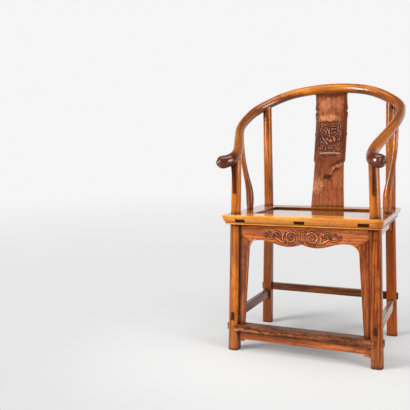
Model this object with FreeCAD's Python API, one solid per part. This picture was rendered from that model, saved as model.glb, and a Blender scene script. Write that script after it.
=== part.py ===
import FreeCAD, Part
import math
from FreeCAD import Vector

# Horseshoe back armchair, in millimetres, standing on the floor with its front to -Y.
# While the pieces are made the seat's centre is on x = 0, y = 0, and the floor is z = 0.

# Seat frame
seat_height = 500.0
seat_width = 560.0
seat_depth = 444.0
rail_width = 85.0
rail_thickness = 34.0
edge_lip = 3.0
edge_inset = 11.0
bead_height = 5.0
bead_stand = 2.0
hollow_share = 0.34

# Seat panel and the brace under it
panel_recess = 7.0
panel_thickness = 9.0
panel_tongue_thickness = 5.0
panel_tongue_length = 7.0
panel_shrink_gap = 0.3
brace_width = 38.0
brace_neck_width = 34.0
brace_depth = 20.0
brace_let_in = 3.0

# Through tenons that show in the front rail
rail_tenon_width = 37.0
rail_tenon_thickness = 12.0
rail_tenon_drop = 14.0

# Legs and the posts that they run on into
leg_side_inset = 35.0
leg_front_inset = 48.0
leg_back_inset = 23.0
foot_spread_x = 11.5
front_foot_spread_y = 2.0
back_foot_spread_y = 12.0
front_foot_half = 19.5
front_shoulder_half = 18.8
back_foot_half = 19.0
back_shoulder_half = 17.5
leg_outer_round = 15.5
leg_side_round = 9.0
leg_inner_round = 2.5
post_radius_low = 18.4
post_radius_top = 17.0
back_post_radius_low = 18.8
back_post_radius_top = 17.2
post_tenon_radius = 8.5
post_tenon_entry = 6.0
round_fit_gap = 0.05

# Crest rail: how far it stands out past the seat and the legs, its heights and its thickness
crest_side_overhang = 10.0
crest_back_overhang = 43.5
arm_post_lean_in = 8.0
arm_post_lean_forward = 6.0
back_rise = 474.5
arm_rise = 219.0
crest_back_radius = 18.8
crest_arm_radius = 17.2
hand_outward = 28.5
hand_forward = 64.0
hand_drop = 31.0
hand_radius = 23.0
hand_tip_length = 21.0
# Each row: sideways, forward to back, and height, as shares of the sizes above,
# then how much of the back's extra thickness the rail still has there.
back_post_shares = (0.838, 0.803, 0.763, 0.95)
side_post_place_shares = (0.986, 0.382, 0.383, -0.20)
crest_row_shares = [
    (0.000, 1.000, 1.000, 1.00),
    (0.281, 0.979, 0.980, 1.00),
    (0.543, 0.921, 0.920, 0.85),
    back_post_shares,
    (0.951, 0.716, 0.662, 1.00),
    (1.000, 0.560, 0.524, 0.45),
    side_post_place_shares,
    (0.925, 0.235, 0.243, -0.20),
    (0.862, 0.119, 0.121, 0.80),
]
# Each row: outward, forward and down, as shares of the hand's reach from the front post,
# then the swelling from the arm's thickness to the hand's.
hand_row_shares = [
    (0.00, 0.00, 0.00, 0.20),
    (0.04, 0.42, 0.46, 0.40),
    (0.36, 0.80, 0.83, 0.78),
    (1.00, 1.00, 1.00, 1.00),
]
# Each row of the rounded tip: how far along it, and its radius, as shares.
hand_tip_shares = [(0.45, 0.89), (0.78, 0.62), (0.95, 0.31), (1.00, 0.09)]

# Lap joints of the crest rail
lap_centre_share = 0.53
lap_length = 88.0
lap_tongue_length = 6.0
lap_tongue_half = 5.0
lap_tongue_low = 4.0
lap_tongue_high = 10.0
pin_width = 9.0
pin_height = 8.0
pin_taper = 1.5

# Side posts
side_post_inset = 23.0
side_post_lean_forward = 14.5
side_post_foot_radius = 12.0
side_post_belly_radius = 15.0
side_post_top_radius = 9.6
side_post_tenon_radius = 6.0
side_post_tenon_length = 16.0
# Each row: height above the seat, and the way from foot to top, as shares, then the belly share.
side_post_shares = [
    (0.00, 0.00, 0.00),
    (0.06, 0.00, 0.60),
    (0.14, 0.00, 1.00),
    (0.25, 0.08, 0.80),
    (0.36, 0.30, 0.40),
    (0.49, 0.56, 0.10),
    (0.64, 0.80, 0.00),
    (0.82, 0.94, 0.00),
    (1.00, 1.00, 0.00),
]

# Splat
splat_thickness = 13.0
splat_foot_half = 65.5
splat_waist_half = 58.0
splat_body_half = 62.8
splat_ear_half = 65.0
splat_notch_half = 59.6
splat_foot_inset = 19.0
splat_top_set_back = 0.5
splat_field_half = 51.0
splat_edge_fall = 2.6
carving_half_width = 45.0
carving_low_share = 0.459
carving_high_share = 0.747
carving_depth = 2.4
splat_tongue_thickness = 8.0
splat_tongue_half = 48.0
splat_tongue_length = 12.0
# Bow of the board: height above the seat, and how far back, as shares.
splat_bow_shares = [(0.00, 0.00), (0.19, 0.207), (0.40, 0.50), (0.62, 0.903), (0.82, 1.088), (1.00, 1.00)]
# Shaped edge: heights above the seat as shares of the height under the crest rail.
splat_waist_bow_share = 0.12
splat_waist_share = 0.382
splat_shoulder_share = 0.402
splat_bump_low_share = 0.620
splat_bump_share = 0.637
splat_bump_high_share = 0.654
splat_lobe_low_share = 0.765
splat_lobe_mid_share = 0.805
splat_notch_low_share = 0.832
splat_notch_share = 0.842
splat_notch_high_share = 0.852
splat_lobe_high_share = 0.880
splat_neck_low_share = 0.910
splat_neck_high_share = 0.975

# Front apron and the strips beside it
apron_thickness = 13.5
apron_set_back = 12.5
apron_tongue_thickness = 8.0
apron_tongue_length = 5.0
strip_foot_inset = 41.5
strip_shoulder_inset = 50.5
arch_shoulder_drop = 92.0
arch_corner_inset = 62.0
arch_corner_drop = 66.0
arch_crown_inset = 88.0
arch_crown_drop = 56.5
arch_lobe_drop = 75.0
arch_cusp_drop = 64.5
mitre_leg_drop = 38.0
mitre_corner_drop = 66.5
# Points of the lobed edge between crown and cusp: shares of the crown's x,
# and of the fall from the crown to the bottom of the lobe.
lobe_shares = [(0.90, 0.00), (0.735, 0.25), (0.60, 0.58), (0.46, 0.88), (0.32, 1.00), (0.17, 0.87), (0.06, 0.64)]

# Side and back aprons
side_apron_depth = 34.0
side_apron_drop = 49.0
side_apron_end = 24.0
side_apron_curve = 12.0
back_apron_depth = 45.0

# Foot rail and the strip under it
foot_rail_top = 98.5
foot_rail_height = 26.0
foot_rail_front_stand = 4.0
foot_rail_depth = 46.0
foot_rail_round = 5.0
foot_rail_lap = 12.0
foot_tenon_width = 14.0
foot_tenon_height = 23.0
tenon_stand = 5.0
foot_apron_thickness = 14.0
foot_apron_height = 30.5
foot_apron_drop = 38.0
foot_apron_end = 24.0

# Side and back stretchers
side_stretcher_z = 127.0
side_stretcher_height = 32.0
side_stretcher_thickness = 20.0
side_tenon_width = 12.0
side_tenon_height = 29.0
side_tenon_stand = 1.5
back_stretcher_z = 157.5
back_stretcher_height = 28.5
back_stretcher_thickness = 22.0
back_tenon_width = 12.0
back_tenon_height = 25.5
stretcher_round = 4.0

# Brackets under the hands
bracket_thickness = 10.0
bracket_rise = 76.0
bracket_foot_stand = 6.0
bracket_top_stand = 24.0
# Where the bracket's front curve passes between its ends: up, and forward, as shares
bracket_bend_shares = (0.5, 0.36)
peg_radius = 2.2
peg_length = 16.0
peg_rise = 8.0

# One overrun for every cutting tool, and the turn of every round piece's seam, in degrees
overrun = 40.0
seam_turn = -55.0

# Places worked out from the sizes
half_width = seat_width / 2
half_depth = seat_depth / 2
seat_under = seat_height - rail_thickness
opening_x = half_width - rail_width
opening_y = half_depth - rail_width
leg_x = half_width - leg_side_inset
front_leg_y = leg_front_inset - half_depth
back_leg_y = half_depth - leg_back_inset
crest_half_span = half_width + crest_side_overhang
crest_back_y = half_depth + crest_back_overhang
crest_back_z = seat_height + back_rise
crest_front_x = leg_x - arm_post_lean_in
crest_front_y = front_leg_y - arm_post_lean_forward
crest_front_z = seat_height + arm_rise
side_post_foot_x = half_width - side_post_inset
bracket_bottom_z = seat_height + bracket_rise
splat_foot_y = half_depth - splat_foot_inset
splat_top_y = crest_back_y + splat_top_set_back
panel_top = seat_height - panel_recess
panel_under = panel_top - panel_thickness
rail_tenon_top = seat_height - rail_tenon_drop
rail_tenon_under = rail_tenon_top - rail_tenon_thickness
splat_top_z = crest_back_z - crest_back_radius


def mirrored(shape):
    """The same piece on the other side of the chair."""
    return shape.mirror(Vector(0, 0, 0), Vector(1, 0, 0))


def joined(first, *others):
    """Several solids in one, with the seams inside its faces taken away where that leaves it sound."""
    whole = first.fuse(list(others))
    merged = whole.removeSplitter()
    return merged if merged.isValid() else whole


def box(x_range, y_range, z_range):
    """A block between three pairs of limits."""
    corner = Vector(x_range[0], y_range[0], z_range[0])
    return Part.makeBox(x_range[1] - x_range[0], y_range[1] - y_range[0], z_range[1] - z_range[0], corner)


def prism(points, direction):
    """A straight-sided solid from a flat outline."""
    return Part.Face(Part.makePolygon(points + points[:1])).extrude(direction)


def outline_prism(edges, direction):
    """A solid from a flat outline of lines and curves."""
    return Part.Face(Part.Wire(Part.__sortEdges__(edges))).extrude(direction)


def line(start, end):
    return Part.LineSegment(start, end).toShape()


def arc(start, middle, end):
    return Part.Arc(start, middle, end).toShape()


def curve(points):
    """A smooth curve through points."""
    spline = Part.BSplineCurve()
    spline.interpolate(points)
    return spline.toShape()


def rounded_wire(centre, side_u, side_v, half_u, half_v, radii):
    """A rectangle with its own radius on each corner: ++, -+, --, +- along sides u and v."""
    signs = [(1, 1), (-1, 1), (-1, -1), (1, -1)]
    starts = []
    ends = []
    edges = []
    for number, (sign_u, sign_v) in enumerate(signs):
        radius = radii[number]
        middle = centre + side_u * (sign_u * (half_u - radius)) + side_v * (sign_v * (half_v - radius))
        turn = math.radians(90 * number)
        spots = []
        for step in (0, 45, 90):
            angle = turn + math.radians(step)
            spots.append(middle + side_u * (radius * math.cos(angle)) + side_v * (radius * math.sin(angle)))
        edges.append(arc(spots[0], spots[1], spots[2]))
        starts.append(spots[0])
        ends.append(spots[2])
    for number in range(4):
        edges.append(line(ends[number], starts[(number + 1) % 4]))
    return Part.Wire(Part.__sortEdges__(edges))


def rounded_bar(centre, side_u, side_v, half_u, half_v, radii, half_length):
    """A straight bar of rounded section, as long to each side of its centre."""
    along = side_u.cross(side_v)
    wire = rounded_wire(centre - along * half_length, side_u, side_v, half_u, half_v, radii)
    return Part.Face(wire).extrude(along * (2 * half_length))


def circle_wire(centre, radius, across, along):
    """A circle square to a direction, its seam turned a little from the side named across."""
    turn = FreeCAD.Rotation(Vector(0, 0, 1), seam_turn)
    ring = Part.Wire(Part.Circle(Vector(0, 0, 0), Vector(0, 0, 1), radius).toShape())
    ring.Placement = FreeCAD.Placement(centre, FreeCAD.Rotation(across, along.cross(across), along, "ZXY") * turn)
    return ring


def leg_centre(share_down, front):
    """Centre of a right leg: share 0 is at the seat's height, share 1 on the floor."""
    spread_y = -front_foot_spread_y if front else back_foot_spread_y
    y = front_leg_y if front else back_leg_y
    return Vector(leg_x + foot_spread_x * share_down, y + spread_y * share_down, seat_height * (1 - share_down))


def leg_share(z):
    return 1 - z / seat_height


def leg_half(z, front):
    """Half the leg's thickness at a height below the seat."""
    foot = front_foot_half if front else back_foot_half
    shoulder = front_shoulder_half if front else back_shoulder_half
    return foot + (shoulder - foot) * z / seat_under


# Crest rail centreline
def crest_stations():
    """Right half of the centreline: its points and the rail's radius at each."""
    points = []
    radii = []
    for side, back, height, thick in crest_row_shares:
        x = crest_half_span * side
        y = crest_front_y + (crest_back_y - crest_front_y) * back
        z = crest_front_z + (crest_back_z - crest_front_z) * height
        points.append(Vector(x, y, z))
        radii.append(crest_arm_radius + (crest_back_radius - crest_arm_radius) * thick)
    for out, forward, down, swell in hand_row_shares:
        x = crest_front_x + hand_outward * out
        y = crest_front_y - hand_forward * forward
        z = crest_front_z - hand_drop * down
        points.append(Vector(x, y, z))
        radii.append(crest_arm_radius + (hand_radius - crest_arm_radius) * swell)
    return points, radii


crest_points, crest_radii = crest_stations()
crest_left = [Vector(-p.x, p.y, p.z) for p in crest_points[:0:-1]]
crest_line = Part.BSplineCurve()
crest_line.interpolate(crest_left + crest_points)


def crest_frame(parameter):
    """Place, direction, level sideways direction and upward direction of the rail there."""
    place = crest_line.value(parameter)
    along = Vector(*crest_line.tangent(parameter)[0]).normalize()
    across = Vector(0, 0, 1).cross(along).normalize()
    return place, along, across, along.cross(across)


def crest_rail():
    """The whole rail from hand to hand, before it is divided."""
    radii = crest_radii[:0:-1] + crest_radii
    parameters = [crest_line.parameter(p) for p in crest_left + crest_points]
    sections = []
    for number, parameter in enumerate(parameters):
        place, along, across, up = crest_frame(parameter)
        sections.append(circle_wire(place, radii[number], across, along))
        if number + 1 < len(parameters):
            middle = (parameter + parameters[number + 1]) / 2
            place, along, across, up = crest_frame(middle)
            radius = (radii[number] + radii[number + 1]) / 2
            sections.append(circle_wire(place, radius, across, along))
    for sign in (-1, 1):
        place, along, across, up = crest_frame(parameters[0] if sign < 0 else parameters[-1])
        for length_share, radius_share in hand_tip_shares:
            centre = place + along * (sign * hand_tip_length * length_share)
            tip = circle_wire(centre, hand_radius * radius_share, across, along)
            sections = [tip] + sections if sign < 0 else sections + [tip]
    return Part.makeLoft(sections, True, False)


def lap_place():
    """Frame of the right lap joint, at the middle of its length."""
    target = crest_half_span * lap_centre_share
    low = crest_line.parameter(crest_points[0])
    high = crest_line.parameter(crest_points[crest_row_shares.index(back_post_shares)])
    for step in range(40):
        middle = (low + high) / 2
        if crest_line.value(middle).x < target:
            low = middle
        else:
            high = middle
    return crest_frame(low)


def lap_block(along_range, across_range, up_range):
    """A block set in the frame of the right lap joint."""
    place, along, across, up = lap_place()
    block = box(along_range, across_range, up_range)
    block.Placement = FreeCAD.Placement(place, FreeCAD.Rotation(along, across, up, "XZY"))
    return block


def arm_region():
    """All of space that belongs to the right arm, lap and tongues included."""
    far = 2 * crest_back_z
    half = lap_length / 2
    right_half = box((0, far), (-far, far), (0, far))
    beyond = lap_block((half, far), (-far, far), (-far, far))
    under = lap_block((-half, far), (-far, far), (-far, 0))
    low_tongue = lap_block(
        (-half - lap_tongue_length, 0), (-lap_tongue_half, lap_tongue_half), (-lap_tongue_high, -lap_tongue_low))
    high_tongue = lap_block(
        (0, half + lap_tongue_length), (-lap_tongue_half, lap_tongue_half), (lap_tongue_low, lap_tongue_high))
    return beyond.fuse(under).fuse(low_tongue).cut(high_tongue).common(right_half)


def wedge_pin(rail):
    """Tapered square pin driven level through the middle of a lap."""
    place, along, across, up = lap_place()
    reach = 2 * crest_back_radius
    wires = []
    for sign in (-1, 1):
        half_u = (pin_width + sign * pin_taper / 2) / 2
        half_v = (pin_height + sign * pin_taper / 2) / 2
        centre = place + across * (sign * reach)
        corners = []
        for side_u, side_v in ((1, 1), (-1, 1), (-1, -1), (1, -1)):
            corners.append(centre + along * (side_u * half_u) + up * (side_v * half_v))
        wires.append(Part.makePolygon(corners + corners[:1]))
    return Part.makeLoft(wires, True, True).common(rail)


# Legs and posts
def leg_wire(z, front):
    """Section of a right leg: round outside, square towards the seat."""
    centre = leg_centre(leg_share(z), front)
    centre.z = z
    half = leg_half(z, front)
    side_v = Vector(0, -1, 0) if front else Vector(0, 1, 0)
    radii = [leg_outer_round, leg_side_round, leg_inner_round, leg_side_round]
    return rounded_wire(centre, Vector(1, 0, 0), side_v, half, half, radii)


def post_axis(front):
    """Foot of the round post at the seat's height and its top in the crest rail."""
    foot = leg_centre(0, front)
    row = len(crest_row_shares) if front else crest_row_shares.index(back_post_shares)
    return foot, crest_points[row]


def leg_blank(front):
    """Right leg and post in one piece, before its mortises and its saddle are cut."""
    lower = Part.makeLoft([leg_wire(0, front), leg_wire(seat_under, front)], True, True)
    foot, top = post_axis(front)
    slope = (top - foot) / (top.z - foot.z)
    base = foot + slope * (seat_under - seat_height)
    across = Vector(1, 0, 0)
    low_radius = post_radius_low if front else back_post_radius_low
    top_radius = post_radius_top if front else back_post_radius_top
    rings = [
        circle_wire(base, low_radius, across, Vector(0, 0, 1)),
        circle_wire(top, top_radius, across, Vector(0, 0, 1)),
    ]
    return joined(lower, Part.makeLoft(rings, True, True))


def round_tenon(top, along, radius, below, above):
    """A round tenon on a line through a point of the crest rail."""
    return Part.makeCylinder(radius, below + above, top - along * below, along)


def post_tenon(front, gap):
    foot, top = post_axis(front)
    along = (top - foot).normalize()
    return round_tenon(top, along, post_tenon_radius + gap, crest_back_radius + post_tenon_entry, post_tenon_entry)


def side_post_ends():
    """Foot of the right side post on the seat, and its top in the middle of the arm."""
    top = crest_points[crest_row_shares.index(side_post_place_shares)]
    return Vector(side_post_foot_x, top.y + side_post_lean_forward, seat_height), top


def side_post_blank():
    """S-curved post: thick and upright low down, thin where it swings out under the arm."""
    foot, top = side_post_ends()
    swing = Vector(top.x - foot.x, top.y - foot.y, 0)
    height = top.z - foot.z
    rings = []
    for up_share, swing_share, belly in side_post_shares:
        base_radius = side_post_foot_radius
        if up_share > side_post_shares[2][0]:
            base_radius = side_post_top_radius
        radius = base_radius + (side_post_belly_radius - base_radius) * belly
        centre = foot + swing * swing_share + Vector(0, 0, height * up_share)
        rings.append(circle_wire(centre, radius, Vector(1, 0, 0), Vector(0, 0, 1)))
    return Part.makeLoft(rings, True, False)


def side_post_tenons(gap):
    """Tenons into the side rail below and into the arm above."""
    foot, top = side_post_ends()
    up = Vector(0, 0, 1)
    radius = side_post_tenon_radius + gap
    low = Part.makeCylinder(radius, 2 * side_post_tenon_length, foot - up * side_post_tenon_length, up)
    high = round_tenon(top, up, radius, crest_arm_radius + post_tenon_entry, post_tenon_entry)
    return low, high


# Seat frame
def moulding_face(outer, inner_sign, origin_x):
    """Section of a seat rail in the YZ plane, its moulded edge towards the outside."""
    def spot(inset, z):
        return Vector(origin_x, outer + inner_sign * inset, z)
    neck = seat_under + bead_height
    bead = edge_inset - bead_stand
    belly_z = (seat_height - edge_lip + neck) / 2
    edges = [
        line(spot(0, seat_height), spot(rail_width, seat_height)),
        line(spot(rail_width, seat_height), spot(rail_width, seat_under)),
        line(spot(rail_width, seat_under), spot(bead + bead_stand, seat_under)),
        arc(spot(bead + bead_stand, seat_under), spot(bead, seat_under + bead_height / 2), spot(edge_inset, neck)),
        arc(spot(edge_inset, neck), spot(edge_inset * hollow_share, belly_z), spot(0, seat_height - edge_lip)),
        line(spot(0, seat_height - edge_lip), spot(0, seat_height)),
    ]
    return Part.Face(Part.Wire(Part.__sortEdges__(edges)))


def seat_rail(across_half, along_half):
    """A mitred rail along X whose moulded edge is at y = -across_half."""
    bar = moulding_face(-across_half, 1, -along_half).extrude(Vector(2 * along_half, 0, 0))
    inner = along_half - rail_width
    corners = [
        Vector(-along_half, -across_half, seat_under),
        Vector(along_half, -across_half, seat_under),
        Vector(inner, rail_width - across_half, seat_under),
        Vector(-inner, rail_width - across_half, seat_under),
    ]
    return bar.common(prism(corners, Vector(0, 0, rail_thickness)))


def panel_groove():
    """Ring-shaped groove for the panel's tongue, with room for the panel to swell."""
    x = opening_x + panel_tongue_length + panel_shrink_gap
    y = opening_y + panel_tongue_length + panel_shrink_gap
    top = panel_under + panel_tongue_thickness + panel_shrink_gap
    return box((-x, x), (-y, y), (panel_under, top))


def side_rail_tenon():
    """Long block of the right side rail's two through tenons."""
    return box((opening_x, opening_x + rail_tenon_width), (-half_depth, half_depth), (rail_tenon_under, rail_tenon_top))


def seat_brace_blank():
    """Cross brace: dovetail head let into the panel, and a body under it."""
    half_head = brace_width / 2
    half_neck = brace_neck_width / 2
    head_top = panel_under + brace_let_in
    outline = [
        Vector(-half_head, -opening_y, head_top),
        Vector(half_head, -opening_y, head_top),
        Vector(half_neck, -opening_y, panel_under),
        Vector(half_neck, -opening_y, head_top - brace_depth),
        Vector(-half_neck, -opening_y, head_top - brace_depth),
        Vector(-half_neck, -opening_y, panel_under),
    ]
    return prism(outline, Vector(0, 2 * opening_y, 0))


def brace_tenon():
    half = rail_tenon_width / 2
    return box((-half, half), (-half_depth, half_depth), (rail_tenon_under, rail_tenon_top))


def seat_panel_blank():
    x = opening_x - panel_shrink_gap
    y = opening_y - panel_shrink_gap
    board = box((-x, x), (-y, y), (panel_under, panel_top))
    tongue = box((-opening_x - panel_tongue_length, opening_x + panel_tongue_length),
                 (-opening_y - panel_tongue_length, opening_y + panel_tongue_length),
                 (panel_under, panel_under + panel_tongue_thickness))
    return joined(board, tongue)


# Aprons
def tilted(shape, pivot, axis, spread):
    """Lean a board with the legs: its lower end goes out by the legs' spread."""
    angle = math.degrees(math.atan(spread / seat_height))
    leaning = shape.copy()
    leaning.rotate(pivot, axis, angle)
    return leaning


def apron_front_y():
    return front_leg_y - front_shoulder_half + apron_set_back


def arch_board(front_y, thickness, leg_reach):
    """Apron and strips in one board before mitring, as far into the legs as leg_reach."""
    top = seat_under + overrun
    low = foot_rail_top - foot_rail_height
    def spot(x, z):
        return Vector(x, front_y, z)
    def leg_edge(z):
        return leg_centre(leg_share(z), True).x - leg_half(z, True) + leg_reach
    arch_crown_x = leg_x - arch_crown_inset
    crown_z = seat_under - arch_crown_drop
    lobe_z = seat_under - arch_lobe_drop
    cusp_z = seat_under - arch_cusp_drop
    lobe = [spot(arch_crown_x, crown_z)]
    for x_share, fall_share in lobe_shares:
        lobe.append(spot(arch_crown_x * x_share, crown_z + (lobe_z - crown_z) * fall_share))
    lobe.append(spot(0, cusp_z))
    shoulder = spot(leg_x - strip_shoulder_inset, seat_under - arch_shoulder_drop)
    corner = spot(leg_x - arch_corner_inset, seat_under - arch_corner_drop)
    foot_x = leg_centre(leg_share(foot_rail_top), True).x - strip_foot_inset
    slope = (foot_x - shoulder.x) / (shoulder.z - foot_rail_top)
    low_x = foot_x + slope * (foot_rail_top - low)
    edges = [
        line(spot(0, top), spot(leg_edge(top), top)),
        line(spot(leg_edge(top), top), spot(leg_edge(low), low)),
        line(spot(leg_edge(low), low), spot(low_x, low)),
        line(spot(low_x, low), shoulder),
        arc(shoulder, corner, spot(arch_crown_x, crown_z)),
        curve(lobe),
        line(spot(0, cusp_z), spot(0, top)),
    ]
    half = outline_prism(edges, Vector(0, thickness, 0))
    return joined(half, mirrored(half))


def strip_region(front_y):
    """Space under the right mitre, which belongs to the strip."""
    mitre_leg_z = seat_under - mitre_leg_drop
    mitre_corner_z = seat_under - mitre_corner_drop
    arch_corner_x = leg_x - arch_corner_inset
    leg_face_x = leg_centre(leg_share(mitre_leg_z), True).x - leg_half(mitre_leg_z, True)
    slope = (mitre_leg_z - mitre_corner_z) / (leg_face_x - arch_corner_x)
    near = leg_x - arch_crown_inset
    far = leg_face_x + overrun
    outline = [
        Vector(near, front_y - overrun, 0),
        Vector(far, front_y - overrun, 0),
        Vector(far, front_y - overrun, mitre_leg_z + slope * (far - leg_face_x)),
        Vector(near, front_y - overrun, mitre_corner_z + slope * (near - arch_corner_x)),
    ]
    return prism(outline, Vector(0, 2 * overrun, 0))


def front_boards():
    """Front apron, right strip, and the tongues that they put into the right leg."""
    front_y = apron_front_y()
    thick = arch_board(front_y, apron_thickness, front_shoulder_half)
    tongue_y = front_y + (apron_thickness - apron_tongue_thickness) / 2
    thin = arch_board(tongue_y, apron_tongue_thickness, apron_tongue_length)
    pivot = Vector(0, front_y, seat_under)
    thick = tilted(thick, pivot, Vector(1, 0, 0), -front_foot_spread_y)
    thin = tilted(thin, pivot, Vector(1, 0, 0), -front_foot_spread_y)
    region = strip_region(front_y)
    far = seat_width
    under_rail = box((-far, far), (-far, far), (foot_rail_top, seat_under))
    return thick.common(under_rail), thin.common(under_rail), region


def side_board(thickness, set_in, leg_reach):
    """Right side apron: straight lower edge between two short dropped ends."""
    outer_x = leg_x + front_shoulder_half - apron_set_back - set_in
    top = seat_under + overrun
    def spot(y, z):
        return Vector(outer_x - thickness, y, z)
    front_face = front_leg_y + front_shoulder_half
    back_face = back_leg_y - back_shoulder_half
    straight_z = seat_under - side_apron_depth
    end_z = seat_under - side_apron_drop
    edges = [line(spot(front_face - leg_reach, top), spot(back_face + leg_reach, top))]
    for face, sign in ((front_face, 1), (back_face, -1)):
        tip = face + sign * side_apron_end
        knee = face + sign * (side_apron_end - side_apron_curve)
        bend = knee + sign * side_apron_curve * math.sqrt(0.5)
        bend_z = straight_z - (straight_z - end_z) * math.sqrt(0.5)
        edges.append(line(spot(face - sign * leg_reach, top), spot(face - sign * leg_reach, end_z)))
        edges.append(line(spot(face - sign * leg_reach, end_z), spot(knee, end_z)))
        edges.append(arc(spot(knee, end_z), spot(bend, bend_z), spot(tip, straight_z)))
    edges.append(line(spot(front_face + side_apron_end, straight_z), spot(back_face - side_apron_end, straight_z)))
    board = outline_prism(edges, Vector(thickness, 0, 0))
    pivot = Vector(outer_x + set_in, 0, seat_under)
    board = tilted(board, pivot, Vector(0, 1, 0), -foot_spread_x)
    far = seat_width
    return board.common(box((-far, far), (-far, far), (0, seat_under)))


def back_board(thickness, set_in, leg_reach):
    """Back apron: a plain board between the back legs."""
    outer_y = back_leg_y + back_shoulder_half - apron_set_back - set_in
    half = leg_x - back_shoulder_half + leg_reach
    low = seat_under - back_apron_depth
    board = box((-half, half), (outer_y - thickness, outer_y), (low, seat_under + overrun))
    pivot = Vector(0, outer_y + set_in, seat_under)
    board = tilted(board, pivot, Vector(1, 0, 0), back_foot_spread_y)
    far = seat_width
    return board.common(box((-far, far), (-far, far), (0, seat_under)))


# Stretchers
def foot_rail_blank():
    """Foot rail with its top edges rounded by wear, and laps in front of the legs."""
    z = foot_rail_top - foot_rail_height / 2
    centre = leg_centre(leg_share(z), True)
    front = centre.y - leg_half(z, True) - foot_rail_front_stand
    middle = Vector(0, front + foot_rail_depth / 2, z)
    half_length = centre.x - leg_half(z, True) + foot_rail_lap
    radii = [foot_rail_round, foot_rail_round, foot_rail_round / 2, foot_rail_round / 2]
    return rounded_bar(middle, Vector(0, -1, 0), Vector(0, 0, 1), foot_rail_depth / 2, foot_rail_height / 2,
                       radii, half_length)


def foot_rail_tenon():
    z = foot_rail_top - foot_rail_height / 2
    centre = leg_centre(leg_share(z), True)
    end = centre.x + leg_half(z, True) + tenon_stand
    half_width_y = foot_tenon_width / 2
    half_height = foot_tenon_height / 2
    return box((-end, end), (centre.y - half_width_y, centre.y + half_width_y), (z - half_height, z + half_height))


def foot_apron_blank():
    """Strip under the foot rail, deeper for a short way beside each leg."""
    top = foot_rail_top - foot_rail_height
    centre = leg_centre(leg_share(top), True)
    face = centre.x - leg_half(top, True)
    front = centre.y - foot_apron_thickness / 2
    low = top - foot_apron_height
    drop = top - foot_apron_drop
    inner = face - foot_apron_end
    reach = centre.x
    def spot(x, z):
        return Vector(x, front, z)
    step = foot_apron_drop - foot_apron_height
    edges = [
        line(spot(0, top), spot(reach, top)),
        line(spot(reach, top), spot(reach, drop)),
        line(spot(reach, drop), spot(inner + step, drop)),
        arc(spot(inner + step, drop), spot(inner + step * (1 - math.sqrt(0.5)), low - step * math.sqrt(0.5)),
            spot(inner, low)),
        line(spot(inner, low), spot(0, low)),
        line(spot(0, low), spot(0, top)),
    ]
    half = outline_prism(edges, Vector(0, foot_apron_thickness, 0))
    return joined(half, mirrored(half))


def side_stretcher_blank():
    front = leg_centre(leg_share(side_stretcher_z), True)
    back = leg_centre(leg_share(side_stretcher_z), False)
    middle = Vector(front.x, (front.y + back.y) / 2, side_stretcher_z)
    half_length = (back.y - front.y) / 2
    radii = [stretcher_round, stretcher_round, stretcher_round / 2, stretcher_round / 2]
    return rounded_bar(middle, Vector(1, 0, 0), Vector(0, 0, 1), side_stretcher_thickness / 2,
                       side_stretcher_height / 2, radii, half_length)


def side_stretcher_tenon():
    front = leg_centre(leg_share(side_stretcher_z), True)
    back = leg_centre(leg_share(side_stretcher_z), False)
    y_low = front.y - leg_half(side_stretcher_z, True) - side_tenon_stand
    y_high = back.y + leg_half(side_stretcher_z, False) + side_tenon_stand
    half = side_tenon_width / 2
    rise = side_tenon_height / 2
    return box((front.x - half, front.x + half), (y_low, y_high), (side_stretcher_z - rise, side_stretcher_z + rise))


def back_stretcher_blank():
    centre = leg_centre(leg_share(back_stretcher_z), False)
    middle = Vector(0, centre.y, back_stretcher_z)
    radii = [stretcher_round, stretcher_round, stretcher_round / 2, stretcher_round / 2]
    return rounded_bar(middle, Vector(0, -1, 0), Vector(0, 0, 1), back_stretcher_thickness / 2,
                       back_stretcher_height / 2, radii, centre.x)


def back_stretcher_tenon():
    centre = leg_centre(leg_share(back_stretcher_z), False)
    end = centre.x + leg_half(back_stretcher_z, False) + tenon_stand
    half = back_tenon_width / 2
    rise = back_tenon_height / 2
    return box((-end, end), (centre.y - half, centre.y + half), (back_stretcher_z - rise, back_stretcher_z + rise))


# Splat
def bow_edges(offset, low_z, high_z):
    """Line of the bowed board at an offset from its middle, straight on at both ends."""
    height = splat_top_z - seat_height
    sweep = splat_top_y - splat_foot_y
    middles = []
    for up, bow in splat_bow_shares:
        middles.append(Vector(0, splat_foot_y + sweep * bow, seat_height + height * up))
    middle_line = Part.BSplineCurve()
    middle_line.interpolate(middles)
    points = []
    for middle in middles:
        along = Vector(*middle_line.tangent(middle_line.parameter(middle))[0]).normalize()
        points.append(middle + Vector(0, along.z, -along.y) * offset)
    first_slope = (points[1] - points[0]) / (points[1].z - points[0].z)
    last_slope = (points[-1] - points[-2]) / (points[-1].z - points[-2].z)
    low = points[0] + first_slope * (low_z - points[0].z)
    high = points[-1] + last_slope * (high_z - points[-1].z)
    return [line(low, points[0]), curve(points), line(points[-1], high)], low, high


def bowed_slab(thickness, half, low_z, high_z):
    """A bowed board of even thickness, its edges plain."""
    front, front_low, front_high = bow_edges(-thickness / 2, low_z, high_z)
    back, back_low, back_high = bow_edges(thickness / 2, low_z, high_z)
    ends = [line(front_low, back_low), line(front_high, back_high)]
    slab = outline_prism(front + back + ends, Vector(2 * half, 0, 0))
    slab.translate(Vector(-half, 0, 0))
    return slab


def edge_fall_tool():
    """What is taken off the right margin of the front face, so that it falls away to the edge."""
    front, low, high = bow_edges(-splat_thickness / 2, seat_height - overrun, crest_back_z)
    far_low = low - Vector(0, overrun, 0)
    far_high = high - Vector(0, overrun, 0)
    sides = [line(low, far_low), line(far_low, far_high), line(far_high, high)]
    run = splat_ear_half - splat_field_half
    tool = outline_prism(front + sides, Vector(2 * run, 2 * splat_edge_fall, 0))
    tool.translate(Vector(splat_field_half, 0, 0))
    return tool


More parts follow.
